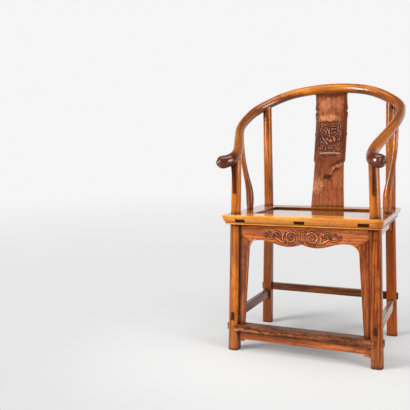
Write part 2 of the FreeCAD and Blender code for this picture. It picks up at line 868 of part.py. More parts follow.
def carving_recess():
    """Shallow sunk field that the carving stands in."""
    height = splat_top_z - seat_height
    low_z = seat_height + height * carving_low_share
    high_z = seat_height + height * carving_high_share
    window = box((-carving_half_width, carving_half_width), (0, 2 * splat_top_y), (low_z, high_z))
    thin = bowed_slab(splat_thickness - 2 * carving_depth, splat_ear_half, seat_height - overrun, crest_back_z)
    return min(window.cut(thin).Solids, key=lambda part: part.CenterOfMass.y)


def splat_outline(high_z):
    """Shaped outline of the splat seen from the front."""
    height = splat_top_z - seat_height
    y = splat_foot_y - overrun
    def right(x, share):
        return Vector(x, y, seat_height + height * share)
    body = splat_body_half
    ear = splat_ear_half
    top_share = (high_z - seat_height) / height
    edges = []
    def add(edge):
        edges.append(edge)
        edges.append(mirrored(edge))
    waist_mid = (splat_foot_half + splat_waist_half) / 2
    waist_bow = (splat_foot_half - splat_waist_half) * splat_waist_bow_share
    add(arc(right(splat_foot_half, 0), right(waist_mid - waist_bow, splat_waist_share / 2),
            right(splat_waist_half, splat_waist_share)))
    add(line(right(splat_waist_half, splat_waist_share), right(body, splat_shoulder_share)))
    add(line(right(body, splat_shoulder_share), right(body, splat_bump_low_share)))
    add(line(right(body, splat_bump_low_share), right(ear, splat_bump_share)))
    add(line(right(ear, splat_bump_share), right(body, splat_bump_high_share)))
    add(line(right(body, splat_bump_high_share), right(body, splat_lobe_low_share)))
    add(line(right(body, splat_lobe_low_share), right(ear, splat_lobe_mid_share)))
    add(line(right(ear, splat_lobe_mid_share), right(ear, splat_notch_low_share)))
    add(line(right(ear, splat_notch_low_share), right(splat_notch_half, splat_notch_share)))
    add(line(right(splat_notch_half, splat_notch_share), right(ear, splat_notch_high_share)))
    add(line(right(ear, splat_notch_high_share), right(ear, splat_lobe_high_share)))
    add(line(right(ear, splat_lobe_high_share), right(body, splat_neck_low_share)))
    add(line(right(body, splat_neck_low_share), right(body, splat_neck_high_share)))
    add(line(right(body, splat_neck_high_share), right(ear, 1)))
    add(line(right(ear, 1), right(ear, top_share)))
    edges.append(line(right(-splat_foot_half, 0), right(splat_foot_half, 0)))
    edges.append(line(right(-ear, top_share), right(ear, top_share)))
    return edges


def splat_board():
    """The visible splat, run on into the crest rail, to be saddled by it."""
    slab = bowed_slab(splat_thickness, splat_ear_half + splat_thickness, seat_height - overrun, crest_back_z)
    for tool in (edge_fall_tool(), carving_recess()):
        slab = slab.cut(tool)
    slab = slab.cut(mirrored(edge_fall_tool()))
    outline = outline_prism(splat_outline(crest_back_z), Vector(0, splat_top_y, 0))
    return slab.common(outline)


def splat_tongues():
    """Thin tongues of the splat: into the back seat rail and up into the crest rail."""
    low_z = seat_height - splat_tongue_length
    high_z = splat_top_z + splat_tongue_length
    slab = bowed_slab(splat_tongue_thickness, splat_tongue_half, low_z, high_z)
    far = seat_width
    low = slab.common(box((-far, far), (-far, far), (low_z - overrun, seat_height)))
    high = slab.common(box((-far, far), (-far, far), (splat_top_z - splat_tongue_length, high_z + overrun)))
    return low, high


# Brackets under the hands
def bracket_blank():
    """Right bracket in the plane of the arm, before the post and the rail shape it."""
    foot, top = post_axis(True)
    def post_front(z):
        spot = foot + (top - foot) * ((z - foot.z) / (top.z - foot.z))
        radius = post_radius_low + (post_radius_top - post_radius_low) * (z - seat_under) / (top.z - seat_under)
        return spot.y - radius
    x = foot.x + (top.x - foot.x) * (bracket_bottom_z - foot.z) / (top.z - foot.z) - bracket_thickness / 2
    height = top.z - bracket_bottom_z
    low = Vector(x, post_front(bracket_bottom_z) - bracket_foot_stand, bracket_bottom_z)
    up_share, stand_share = bracket_bend_shares
    mid_z = bracket_bottom_z + height * up_share
    mid_stand = (bracket_foot_stand + bracket_top_stand) * stand_share
    middle = Vector(x, post_front(mid_z) - mid_stand, mid_z)
    high = Vector(x, post_front(top.z) - bracket_top_stand, top.z - hand_drop / 2)
    edges = [
        curve([low, middle, high]),
        line(high, Vector(x, top.y, top.z)),
        line(Vector(x, top.y, top.z), Vector(x, foot.y, bracket_bottom_z)),
        line(Vector(x, foot.y, bracket_bottom_z), low),
    ]
    return outline_prism(edges, Vector(bracket_thickness, 0, 0))


def bracket_peg():
    """Peg that holds the foot of the right bracket to the post."""
    foot, top = post_axis(True)
    z = bracket_bottom_z + peg_rise
    spot = foot + (top - foot) * ((z - foot.z) / (top.z - foot.z))
    start = Vector(spot.x, spot.y - post_radius_low + peg_length / 2, z)
    return Part.makeCylinder(peg_radius, peg_length + overrun, start, Vector(0, -1, 0))


# Make the pieces
nodes = {}

whole_rail = crest_rail()
region = arm_region()
pin = wedge_pin(whole_rail)
arm = whole_rail.common(region).cut(pin)
centre = whole_rail.cut(region).cut(mirrored(region)).cut(pin).cut(mirrored(pin))

front_leg = leg_blank(True)
back_leg = leg_blank(False)

# Seat frame with its through tenons
front_rail = seat_rail(half_depth, half_width)
back_rail = front_rail.mirror(Vector(0, 0, 0), Vector(0, 1, 0))
side_rail = seat_rail(half_width, half_depth)
side_rail.rotate(Vector(0, 0, 0), Vector(0, 0, 1), 90)
tenon = side_rail_tenon()
side_rail = joined(side_rail, tenon.common(front_rail), tenon.common(back_rail))
brace = seat_brace_blank()
middle_tenon = brace_tenon()
brace_ends = middle_tenon.common(front_rail).fuse(middle_tenon.common(back_rail))
for cutter in (tenon, mirrored(tenon), middle_tenon, panel_groove()):
    front_rail = front_rail.cut(cutter)
    back_rail = back_rail.cut(cutter)
side_rail = side_rail.cut(panel_groove())
for leg in (front_leg, back_leg):
    side_rail = side_rail.cut(leg)
for leg in (front_leg, mirrored(front_leg)):
    front_rail = front_rail.cut(leg)
for leg in (back_leg, mirrored(back_leg)):
    back_rail = back_rail.cut(leg)
panel = seat_panel_blank().cut(brace)
brace = joined(brace, brace_ends.cut(panel_groove()))

# Splat
low_tongue, high_tongue = splat_tongues()
splat = joined(splat_board().cut(whole_rail), low_tongue, high_tongue)
back_rail = back_rail.cut(low_tongue)
centre = centre.cut(high_tongue)

# Side posts
low_hole, high_hole = side_post_tenons(round_fit_gap)
low_tenon, high_tenon = side_post_tenons(0)
side_post = joined(side_post_blank().cut(whole_rail), low_tenon, high_tenon)
side_rail = side_rail.cut(low_hole)
arm = arm.cut(high_hole)

# Saddles and tenons of the posts
front_leg = joined(front_leg.cut(whole_rail), post_tenon(True, 0))
back_leg = joined(back_leg.cut(whole_rail), post_tenon(False, 0))
arm = arm.cut(post_tenon(True, round_fit_gap)).cut(post_tenon(False, round_fit_gap))

# Brackets and their pegs
peg = bracket_peg()
bracket_board = bracket_blank().cut(front_leg).cut(whole_rail)
peg_inside = peg.common(front_leg.fuse(bracket_board))
front_leg = front_leg.cut(peg)
bracket = bracket_board.cut(peg)

# Aprons, strips and stretchers, each seated in the legs
thick_arch, thin_arch, below_mitre = front_boards()
both_below = below_mitre.fuse(mirrored(below_mitre))
both_legs = front_leg.fuse(mirrored(front_leg))
apron = joined(thick_arch.cut(both_legs), thin_arch).cut(both_below)
strip = joined(thick_arch.cut(front_leg), thin_arch).common(below_mitre)

side_apron = side_board(apron_thickness, 0, front_shoulder_half).cut(front_leg).cut(back_leg)
tongue_inset = (apron_thickness - apron_tongue_thickness) / 2
side_tongue = side_board(apron_tongue_thickness, tongue_inset, apron_tongue_length)
side_apron = joined(side_apron, side_tongue)

both_back_legs = back_leg.fuse(mirrored(back_leg))
back_apron = back_board(apron_thickness, 0, back_shoulder_half).cut(both_back_legs)
back_tongue = back_board(apron_tongue_thickness, tongue_inset, apron_tongue_length)
back_apron = joined(back_apron, back_tongue)

foot_tenon = foot_rail_tenon()
foot_rail = joined(foot_rail_blank().cut(both_legs), foot_tenon)
foot_apron = foot_apron_blank().cut(both_legs)
side_stretcher_tenons = side_stretcher_tenon()
side_stretcher = joined(side_stretcher_blank().cut(front_leg).cut(back_leg), side_stretcher_tenons)
back_tenon = back_stretcher_tenon()
back_stretcher = joined(back_stretcher_blank().cut(both_back_legs), back_tenon)

for cutter in (thin_arch, side_tongue, foot_tenon, side_stretcher_tenons):
    front_leg = front_leg.cut(cutter)
for cutter in (side_tongue, back_tongue, side_stretcher_tenons, back_tenon):
    back_leg = back_leg.cut(cutter)

# Names of the pieces
pairs = {
    "crest_arm": arm,
    "front_leg": front_leg,
    "back_leg": back_leg,
    "side_post": side_post,
    "seat_rail": side_rail,
    "hand_bracket": bracket,
    "front_apron_strip": strip,
    "side_apron": side_apron,
    "side_stretcher": side_stretcher,
}
for name, shape in pairs.items():
    nodes[name + "_right"] = shape
    nodes[name + "_left"] = mirrored(shape)
nodes["crest_center"] = centre
nodes["crest_wedge_pins"] = Part.makeCompound([pin, mirrored(pin)])
nodes["back_splat"] = splat
nodes["seat_rail_front"] = front_rail
nodes["seat_rail_back"] = back_rail
nodes["seat_panel"] = panel
nodes["seat_brace"] = brace
nodes["bracket_pegs"] = Part.makeCompound([peg_inside, mirrored(peg_inside)])
nodes["front_apron"] = apron
nodes["back_apron"] = back_apron
nodes["foot_rail"] = foot_rail
nodes["foot_rail_apron"] = foot_apron
nodes["back_stretcher"] = back_stretcher

# The origin goes to the middle of the chair's depth, on the floor
rail_box = whole_rail.optimalBoundingBox(False, False)
front_reach = min(rail_box.YMin, -half_depth)
back_reach = max(rail_box.YMax, half_depth)
for name, shape in nodes.items():
    shape.translate(Vector(0, -(front_reach + back_reach) / 2, 0))
    shape.exportStep("parts/" + name + ".step")
    size = shape.optimalBoundingBox(False, False)
    print(name, len(shape.Solids), "solids", shape.isValid(), round(shape.Volume), "mm3",
          round(size.XLength, 1), round(size.YLength, 1), round(size.ZLength, 1))
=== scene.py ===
# %% [markdown]
# # A horseshoe back armchair
# The chair is old, hand-rubbed hardwood: a round rail runs from hand to hand and steps down from the
# back to the arms. The imported model already has every board and post at its real size and place, so this
# lesson dresses those pieces: it softens their edges, carves the apron and the splat, and gives the wood
# its figure, its polish, and the dirt and painted shade of its joints. The frame is loaded first.

# %% The frame
import math
import bmesh
import bpy
import numpy
from mathutils import Matrix, Vector, kdtree
from mathutils.bvhtree import BVHTree


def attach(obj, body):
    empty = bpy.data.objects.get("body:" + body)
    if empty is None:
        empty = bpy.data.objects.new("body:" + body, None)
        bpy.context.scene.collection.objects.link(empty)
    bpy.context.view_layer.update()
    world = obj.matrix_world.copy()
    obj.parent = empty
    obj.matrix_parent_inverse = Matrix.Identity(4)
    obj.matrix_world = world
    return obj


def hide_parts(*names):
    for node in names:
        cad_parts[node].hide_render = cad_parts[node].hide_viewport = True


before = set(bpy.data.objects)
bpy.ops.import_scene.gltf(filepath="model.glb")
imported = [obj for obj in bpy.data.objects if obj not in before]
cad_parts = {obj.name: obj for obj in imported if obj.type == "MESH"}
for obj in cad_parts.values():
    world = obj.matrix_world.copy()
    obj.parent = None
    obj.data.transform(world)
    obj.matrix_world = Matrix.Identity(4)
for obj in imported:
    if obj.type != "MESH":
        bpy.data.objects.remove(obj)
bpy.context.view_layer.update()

MM = 0.001
scene = bpy.context.scene
scene.view_settings.view_transform = "Standard"
print("nodes in the frame:", len(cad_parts))

# %% [markdown]
# ## The camera
# The camera stands to the right of the chair's front and a little above the arms, and looks down by five
# degrees, so most of the seat's top is a thin bright sliver. Its place came from matching the straight
# lines and the feet of the real chair. A matrix with the three camera directions as its columns puts it
# there in one step, with the small tilt of the horizon.

# %% Camera
CAMERA_PLACE = Vector((0.539, -2.1416, 0.716))
CAMERA_AIM = Vector((-0.4185, 0.9041, -0.0861)).normalized()
CAMERA_TILT = math.radians(0.81)
PHOTO_WIDTH = 410
FOCAL_PIXELS = 585.73


def linked(name, data):
    """A new object in the scene."""
    made = bpy.data.objects.new(name, data)
    bpy.context.collection.objects.link(made)
    return made


def place_camera():
    level = CAMERA_AIM.cross(Vector((0, 0, 1))).normalized()
    upward = level.cross(CAMERA_AIM)
    right = level * math.cos(CAMERA_TILT) - upward * math.sin(CAMERA_TILT)
    top = level * math.sin(CAMERA_TILT) + upward * math.cos(CAMERA_TILT)
    columns = Matrix((right, top, -CAMERA_AIM)).transposed().to_4x4()
    camera = linked("camera", bpy.data.cameras.new("camera"))
    camera.matrix_world = Matrix.Translation(CAMERA_PLACE) @ columns
    camera.data.sensor_fit = "HORIZONTAL"
    camera.data.angle = 2 * math.atan(PHOTO_WIDTH / 2 / FOCAL_PIXELS)
    camera.data.clip_end = 50
    scene.camera = camera
    return camera


camera = place_camera()
print("camera angle in degrees:", round(math.degrees(camera.data.angle), 2))

# %% [markdown]
# ## Floor, backdrop and light
# The real chair stands in a white studio between two big soft lamps, one on each side, with a wide one
# overhead: polished round wood shows the side lamps as two bright marks with a darker gap between. Behind
# the chair the studio is white, and behind the camera it is darker, so the polish shows white on the
# seat's top and warm wood on the fronts. The floor is a plain pale plane that throws only a little light
# up, because the undersides of real polished furniture stay dark in such a studio. Far from the chair the
# camera sees it melt into the backdrop, with no line between them, and near the chair it takes light and
# shadow like any floor.

# %% Studio
FLOOR_COLOUR = 0.71
FLOOR_BOUNCE = 0.36
FLOOR_REACH = 30
WORLD_LIGHT = 0.37
BACKDROP = 0.915
DARK_SIDE = 0.07
WHITE_WALL = (0.35, 0.85)
WALL_TOP = (0.36, 0.72)
MIRRORED_FLOOR = (-0.2, 0.7)
MELT_START = 0.05
MELT_END = 1.12
FLOOR_END = 9.0
FAR_FLOOR = 0.79


def new_node(tree, kind, **values):
    """A shader node with some of its properties set."""
    node = tree.nodes.new(kind)
    for name, value in values.items():
        setattr(node, name, value)
    return node


def value_of(tree, operation, first, second):
    """A math node; each input is a socket or a number."""
    node = new_node(tree, "ShaderNodeMath", operation=operation)
    for socket, value in zip(node.inputs, (first, second)):
        if isinstance(value, bpy.types.NodeSocket):
            tree.links.new(value, socket)
        else:
            socket.default_value = value
    return node.outputs[0]


def ramped(tree, source, low, high, start=0.0, end=1.0, smooth=True):
    """A value spread from low..high to start..end."""
    node = new_node(tree, "ShaderNodeMapRange")
    node.interpolation_type = "SMOOTHSTEP" if smooth else "LINEAR"
    for label, value in (("From Min", low), ("From Max", high), ("To Min", start), ("To Max", end)):
        node.inputs[label].default_value = value
    tree.links.new(source, node.inputs["Value"])
    return node.outputs["Result"]


def build_world():
    world = bpy.data.worlds.new("studio")
    scene.world = world
    world.use_nodes = True
    tree = world.node_tree
    tree.nodes.clear()
    path = new_node(tree, "ShaderNodeLightPath")
    place = new_node(tree, "ShaderNodeTexCoord")
    parts = new_node(tree, "ShaderNodeSeparateXYZ")
    tree.links.new(place.outputs["Generated"], parts.inputs[0])
    behind = ramped(tree, parts.outputs["Y"], *WHITE_WALL)
    wall = value_of(tree, "MULTIPLY", behind, ramped(tree, parts.outputs["Z"], *WALL_TOP, 1.0, 0.0))
    mirrored_side = ramped(tree, wall, 0.0, 1.0, DARK_SIDE, BACKDROP, smooth=False)
    mirrored = value_of(tree, "MAXIMUM", path.outputs["Is Glossy Ray"], path.outputs["Is Transmission Ray"])
    mirror_part = value_of(tree, "MULTIPLY", mirrored, mirrored_side)
    camera_part = value_of(tree, "MULTIPLY", path.outputs["Is Camera Ray"], BACKDROP)
    seen = value_of(tree, "ADD", mirror_part, camera_part)
    either = value_of(tree, "MAXIMUM", path.outputs["Is Camera Ray"], mirrored)
    unseen = value_of(tree, "MULTIPLY", value_of(tree, "SUBTRACT", 1.0, either), WORLD_LIGHT)
    light = new_node(tree, "ShaderNodeBackground")
    light.inputs["Color"].default_value = (1, 1, 1, 1)
    output = new_node(tree, "ShaderNodeOutputWorld")
    tree.links.new(value_of(tree, "ADD", seen, unseen), light.inputs["Strength"])
    tree.links.new(light.outputs[0], output.inputs[0])


def build_floor():
    shape = bmesh.new()
    bmesh.ops.create_grid(shape, x_segments=1, y_segments=1, size=FLOOR_REACH)
    mesh = bpy.data.meshes.new("floor")
    shape.to_mesh(mesh)
    shape.free()
    floor = linked("floor", mesh)
    paint = bpy.data.materials.new("pale floor")
    paint.use_nodes = True
    tree = paint.node_tree
    surface = tree.nodes["Principled BSDF"]
    surface.inputs["Roughness"].default_value = 0.9
    surface.inputs["Specular IOR Level"].default_value = 0.1
    place = new_node(tree, "ShaderNodeTexCoord")
    reach = new_node(tree, "ShaderNodeVectorMath", operation="LENGTH")
    tree.links.new(place.outputs["Object"], reach.inputs[0])
    path = new_node(tree, "ShaderNodeLightPath")
    parts = new_node(tree, "ShaderNodeSeparateXYZ")
    tree.links.new(place.outputs["Object"], parts.inputs[0])
    behind = ramped(tree, parts.outputs["Y"], *MIRRORED_FLOOR)
    mirrored = value_of(tree, "MULTIPLY", path.outputs["Is Glossy Ray"], behind)
    seen = value_of(tree, "MAXIMUM", path.outputs["Is Camera Ray"], mirrored)
    tree.links.new(ramped(tree, seen, 0.0, 1.0, FLOOR_BOUNCE, FLOOR_COLOUR), surface.inputs["Base Color"])
    melt = value_of(tree, "MULTIPLY", seen, ramped(tree, reach.outputs["Value"], MELT_START, MELT_END))
    far = new_node(tree, "ShaderNodeEmission")
    far.inputs["Color"].default_value = (1, 1, 1, 1)
    glow = ramped(tree, reach.outputs["Value"], MELT_START, FLOOR_END, FAR_FLOOR, BACKDROP)
    tree.links.new(glow, far.inputs["Strength"])
    both = new_node(tree, "ShaderNodeMixShader")
    tree.links.new(melt, both.inputs[0])
    tree.links.new(surface.outputs[0], both.inputs[1])
    tree.links.new(far.outputs[0], both.inputs[2])
    tree.links.new(both.outputs[0], tree.nodes["Material Output"].inputs["Surface"])
    mesh.materials.append(paint)
    return floor


def soft_lamp(name, place, aim, width, height, power):
    lamp = linked(name, bpy.data.lights.new(name, "AREA"))
    lamp.data.shape = "RECTANGLE"
    lamp.data.size = width
    lamp.data.size_y = height
    lamp.data.energy = power
    lamp.location = place
    lamp.rotation_euler = (Vector(aim) - Vector(place)).to_track_quat("-Z", "Y").to_euler()
    return lamp


build_world()
build_floor()
soft_lamp("left lamp", (-2.2, -2.1, 1.35), (0, 0, 0.6), 1.1, 1.7, 112)
soft_lamp("right lamp", (2.5, -0.95, 1.08), (0, 0, 0.6), 1.2, 1.5, 50)
soft_lamp("top lamp", (0.1, -0.5, 3.0), (0, 0, 0.4), 2.6, 1.4, 33)

# %% [markdown]
# ## The wood's figure
# Wood is a solid pattern that the plane and the carver cut through. So the figure is a solid texture,
# stretched along the grain. Broad bands stand for the years' growth, with a dark line where each one ends.
# Stripes and finer streaks run a long way with the grain, patches and blotches are slow changes from light
# to dark wood, and pores are its finest dark marks. It is one node group that every wood uses with its own
# colours and shares. The group expects coordinates whose third axis runs along the grain.

# %% Node group: wood figure
def new_group(name, inputs, outputs):
    """An empty shader node group with named sockets: (name, kind, default or None)."""
    group = bpy.data.node_groups.new(name, "ShaderNodeTree")
    for label, kind, start in inputs:
        socket = group.interface.new_socket(name=label, in_out="INPUT", socket_type=kind)
        if start is not None:
            socket.default_value = start
    for label, kind in outputs:
        group.interface.new_socket(name=label, in_out="OUTPUT", socket_type=kind)
    return group, new_node(group, "NodeGroupInput"), new_node(group, "NodeGroupOutput")


def stretched(tree, source, scale):
    """Coordinates scaled by three factors."""
    node = new_node(tree, "ShaderNodeVectorMath", operation="MULTIPLY")
    node.inputs[1].default_value = scale
    tree.links.new(source, node.inputs[0])
    return node.outputs[0]


def noise(tree, source, scale, detail=3.0, roughness=0.5):
    node = new_node(tree, "ShaderNodeTexNoise")
    node.inputs["Scale"].default_value = scale
    node.inputs["Detail"].default_value = detail
    node.inputs["Roughness"].default_value = roughness
    tree.links.new(source, node.inputs["Vector"])
    return node.outputs["Fac"]


def build_figure_group():
    group, start, end = new_group(
        "wood figure",
        [("Grain", "NodeSocketVector", None)],
        [("Bands", "NodeSocketFloat"), ("Lines", "NodeSocketFloat"), ("Pores", "NodeSocketFloat"),
         ("Patches", "NodeSocketFloat"), ("Streaks", "NodeSocketFloat"), ("Stripes", "NodeSocketFloat"),
         ("Blotches", "NodeSocketFloat")],
    )
    grain = start.outputs["Grain"]
    waves = new_node(group, "ShaderNodeTexWave", wave_type="BANDS", bands_direction="X")
    waves.inputs["Scale"].default_value = 21.0
    waves.inputs["Distortion"].default_value = 11.0
    waves.inputs["Detail"].default_value = 3.0
    waves.inputs["Detail Scale"].default_value = 1.8
    waves.inputs["Detail Roughness"].default_value = 0.55
    group.links.new(stretched(group, grain, (1.0, 0.75, 0.085)), waves.inputs["Vector"])
    group.links.new(waves.outputs["Fac"], end.inputs["Bands"])
    group.links.new(ramped(group, waves.outputs["Fac"], 0.02, 0.34, 1.0, 0.0), end.inputs["Lines"])
    pores = noise(group, stretched(group, grain, (1.0, 1.0, 0.030)), 1100.0, detail=2.0)
    group.links.new(ramped(group, pores, 0.60, 0.72), end.inputs["Pores"])
    patches = noise(group, stretched(group, grain, (1.0, 1.0, 0.30)), 13.0, detail=2.0)
    group.links.new(ramped(group, patches, 0.46, 0.64), end.inputs["Patches"])
    streaks = noise(group, stretched(group, grain, (1.0, 1.0, 0.035)), 190.0, detail=4.0, roughness=0.6)
    group.links.new(ramped(group, streaks, 0.48, 0.60), end.inputs["Streaks"])
    stripes = noise(group, stretched(group, grain, (1.0, 1.0, 0.075)), 95.0, detail=3.0, roughness=0.65)
    group.links.new(ramped(group, stripes, 0.50, 0.62), end.inputs["Stripes"])
    blotches = noise(group, stretched(group, grain, (1.0, 1.0, 0.55)), 75.0, detail=5.0, roughness=0.7)
    group.links.new(ramped(group, blotches, 0.50, 0.64), end.inputs["Blotches"])
    return group


FIGURE = build_figure_group()
print("group:", FIGURE.name, [s.name for s in FIGURE.interface.items_tree])

# %% [markdown]
# ## Wear, dirt and painted light
# Many years of hands polish the corners to a lighter gold, and old wax and dust stay black in the
# joints and in the carving. The outer corners are painted lighter for that wear and also as a painted
# highlight, and the inner corners darker for that dirt and also as painted shade. Both follow the shape,
# so ambient occlusion finds them: looking outwards it finds the inner corners, and looking inwards it
# finds the outer ones. The undersides are painted darker as shade: there the surface's normal points down.

# %% Node group: wear, dirt and painted light
def build_wear_group():
    group, start, end = new_group(
        "wear, dirt and painted light",
        [("Dirt and shade reach", "NodeSocketFloat", 0.012), ("Wear and highlight reach", "NodeSocketFloat", 0.004)],
        [("Dirt and shade", "NodeSocketFloat"), ("Wear and highlight", "NodeSocketFloat"), ("Painted underside shade", "NodeSocketFloat")],
    )
    outside = new_node(group, "ShaderNodeAmbientOcclusion", samples=12)
    group.links.new(start.outputs["Dirt and shade reach"], outside.inputs["Distance"])
    # dirt and painted shade: the inner corners, found by looking outwards
    group.links.new(ramped(group, outside.outputs["AO"], 0.36, 0.96, 1.0, 0.0), end.inputs["Dirt and shade"])
    inside = new_node(group, "ShaderNodeAmbientOcclusion", samples=12, inside=True, only_local=True)
    group.links.new(start.outputs["Wear and highlight reach"], inside.inputs["Distance"])
    # wear and painted highlight: the outer corners, found by looking inwards
    group.links.new(ramped(group, inside.outputs["AO"], 0.45, 0.90, 1.0, 0.0), end.inputs["Wear and highlight"])
    lean = new_node(group, "ShaderNodeSeparateXYZ")
    group.links.new(new_node(group, "ShaderNodeNewGeometry").outputs["Normal"], lean.inputs[0])
    # painted shade: surfaces whose normal points down
    group.links.new(ramped(group, lean.outputs["Z"], -0.95, 0.05, 1.0, 0.0), end.inputs["Painted underside shade"])
    return group


WEAR_DIRT_AND_LIGHT = build_wear_group()
print("group:", WEAR_DIRT_AND_LIGHT.name)

# %% [markdown]
# ## The line of the rail
# The bent rail's grain runs along it, and so do its changes of colour, so its centreline is drawn first: a
# smooth curve through a few places from the middle of the back to the right hand, mirrored for the left.

# %% Rail line
RAIL_LINE = [
    (0.0000, 0.2569, 0.9745), (0.0815, 0.2476, 0.9694), (0.1575, 0.2217, 0.9541), (0.2430, 0.1692, 0.9139),
    (0.2758, 0.1304, 0.8881), (0.2900, 0.0609, 0.8529), (0.2859, -0.0184, 0.8169), (0.2683, -0.0839, 0.7811),
    (0.2500, -0.1355, 0.7499), (0.2370, -0.1886, 0.7190), (0.2381, -0.2154, 0.7047), (0.2473, -0.2398, 0.6933),
    (0.2655, -0.2526, 0.6880),
]


def mesh_of(curve):
    """The mesh that a curve makes; the curve itself is thrown away."""
    holder = bpy.data.objects.new(curve.name, curve)
    mesh = bpy.data.meshes.new_from_object(holder)
    bpy.data.objects.remove(holder)
    bpy.data.curves.remove(curve)
    return mesh


def centreline():
    """Points close together along the whole rail, from the left hand to the right one."""
    half = [Vector(p) for p in RAIL_LINE]
    ring = [Vector((-p.x, p.y, p.z)) for p in half[:0:-1]] + half
    curve = bpy.data.curves.new("rail line", "CURVE")
    curve.dimensions = "3D"
    spline = curve.splines.new("NURBS")
    spline.points.add(len(ring) - 1)
    for point, place in zip(spline.points, ring):
        point.co = (*place, 1)
    spline.order_u = 3
    spline.use_endpoint_u = True
    curve.resolution_u = 12
    mesh = mesh_of(curve)
    line = [v.co.copy() for v in mesh.vertices]
    bpy.data.meshes.remove(mesh)
    return line


LINE = centreline()
RUN = [0.0]
for before, after in zip(LINE, LINE[1:]):
    RUN.append(RUN[-1] + (after - before).length)
TREE = kdtree.KDTree(len(LINE))
for number, place in enumerate(LINE):
    TREE.insert(place, number)
TREE.balance()
print("length of the rail in metres:", round(RUN[-1], 3))

# %% [markdown]
# ## Finishes
# One function makes every wood. The bands choose between a middle and a light colour, each other part of
# the figure darkens them by its own share, and a clear coat is the polish. The grain runs along X, Y or Z
# in straight pieces, so a Mapping node turns the object's coordinates; in the bent rail it follows an
# attribute that the rail's mesh carries. Old wood also changes from place to place. Spots are soft ragged
# marks with a place and a size, for repairs, knots and sheltered margins, and on the splat also for
# painted shadows and painted highlights. Zones change the tint above or below a height, and steps change
# it along the rail, towards the rubbed bends and the dark hands. A few palettes and zones are painted
# light: sheen on the front rail, a reflection on the right stretcher, a highlight on the splat's ledge,
# and shade on the stretchers and back legs under the seat.

# %% Materials
GRAIN_TURNS = {"X": (0, math.radians(90), 0), "Y": (math.radians(90), 0, 0), "Z": (0, 0, 0)}
BAND_MIX = (0.10, 0.80, 0.12, 0.72)
RAGGED = 0.026
FRONT_ONLY = (-0.5, 0.1, 1.0, 0.0)
FIGURE_SHOWS = 0.40
PORE_SHADE = 0.25
RUBBED_AND_HIGHLIGHT = 1.25
BRIGHTEST = 0.9
GRIME_AND_SHADE_FACTOR = 0.12


def mixed(tree, factor, first, second):
    """A colour mix; each end is a socket or a colour."""
    node = new_node(tree, "ShaderNodeMix", data_type="RGBA")
    for socket, value in ((node.inputs["Factor"], factor), (node.inputs[6], first), (node.inputs[7], second)):
        if isinstance(value, bpy.types.NodeSocket):
            tree.links.new(value, socket)
        else:
            socket.default_value = value
    return node.outputs[2]


def scaled(tree, source, factor):
    return value_of(tree, "MULTIPLY", source, factor)


def spot_mixed(tree, place, colour, spot):
    """Mixes one soft-edged spot over a colour; spots are stains, knots, painted shadows and painted
    highlights: x, z, half sizes, turn, tint, strength.
    """
    x, z, across, upward, turn, tint, strength = spot
    shift = new_node(tree, "ShaderNodeMapping", vector_type="TEXTURE")
    shift.inputs["Location"].default_value = (x * MM, 0, z * MM)
    shift.inputs["Rotation"].default_value = (0, -math.radians(turn), 0)
    shift.inputs["Scale"].default_value = (across * MM, 1000, upward * MM)
    tree.links.new(place, shift.inputs["Vector"])
    reach = new_node(tree, "ShaderNodeVectorMath", operation="LENGTH")
    tree.links.new(shift.outputs["Vector"], reach.inputs[0])
    return mixed(tree, ramped(tree, reach.outputs["Value"], 0.50, 1.10, strength, 0.0), colour, (*tint, 1))


def wobbled(tree, place, amount):
    """Coordinates pushed about a little, so that spots and zones get ragged outlines."""
    push = new_node(tree, "ShaderNodeTexNoise")
    push.inputs["Scale"].default_value = 70.0
    push.inputs["Detail"].default_value = 4.0
    tree.links.new(place, push.inputs["Vector"])
    move = new_node(tree, "ShaderNodeVectorMath", operation="MULTIPLY_ADD")
    move.inputs[1].default_value = (amount, amount, amount)
    tree.links.new(push.outputs["Color"], move.inputs[0])
    tree.links.new(place, move.inputs[2])
    centred = new_node(tree, "ShaderNodeVectorMath", operation="SUBTRACT")
    centred.inputs[1].default_value = (amount / 2, amount / 2, amount / 2)
    tree.links.new(move.outputs[0], centred.inputs[0])
    return centred.outputs[0]


def part_of(tree, place, letter):
    """One coordinate of a place."""
    parts = new_node(tree, "ShaderNodeSeparateXYZ")
    tree.links.new(place, parts.inputs[0])
    return parts.outputs[letter]


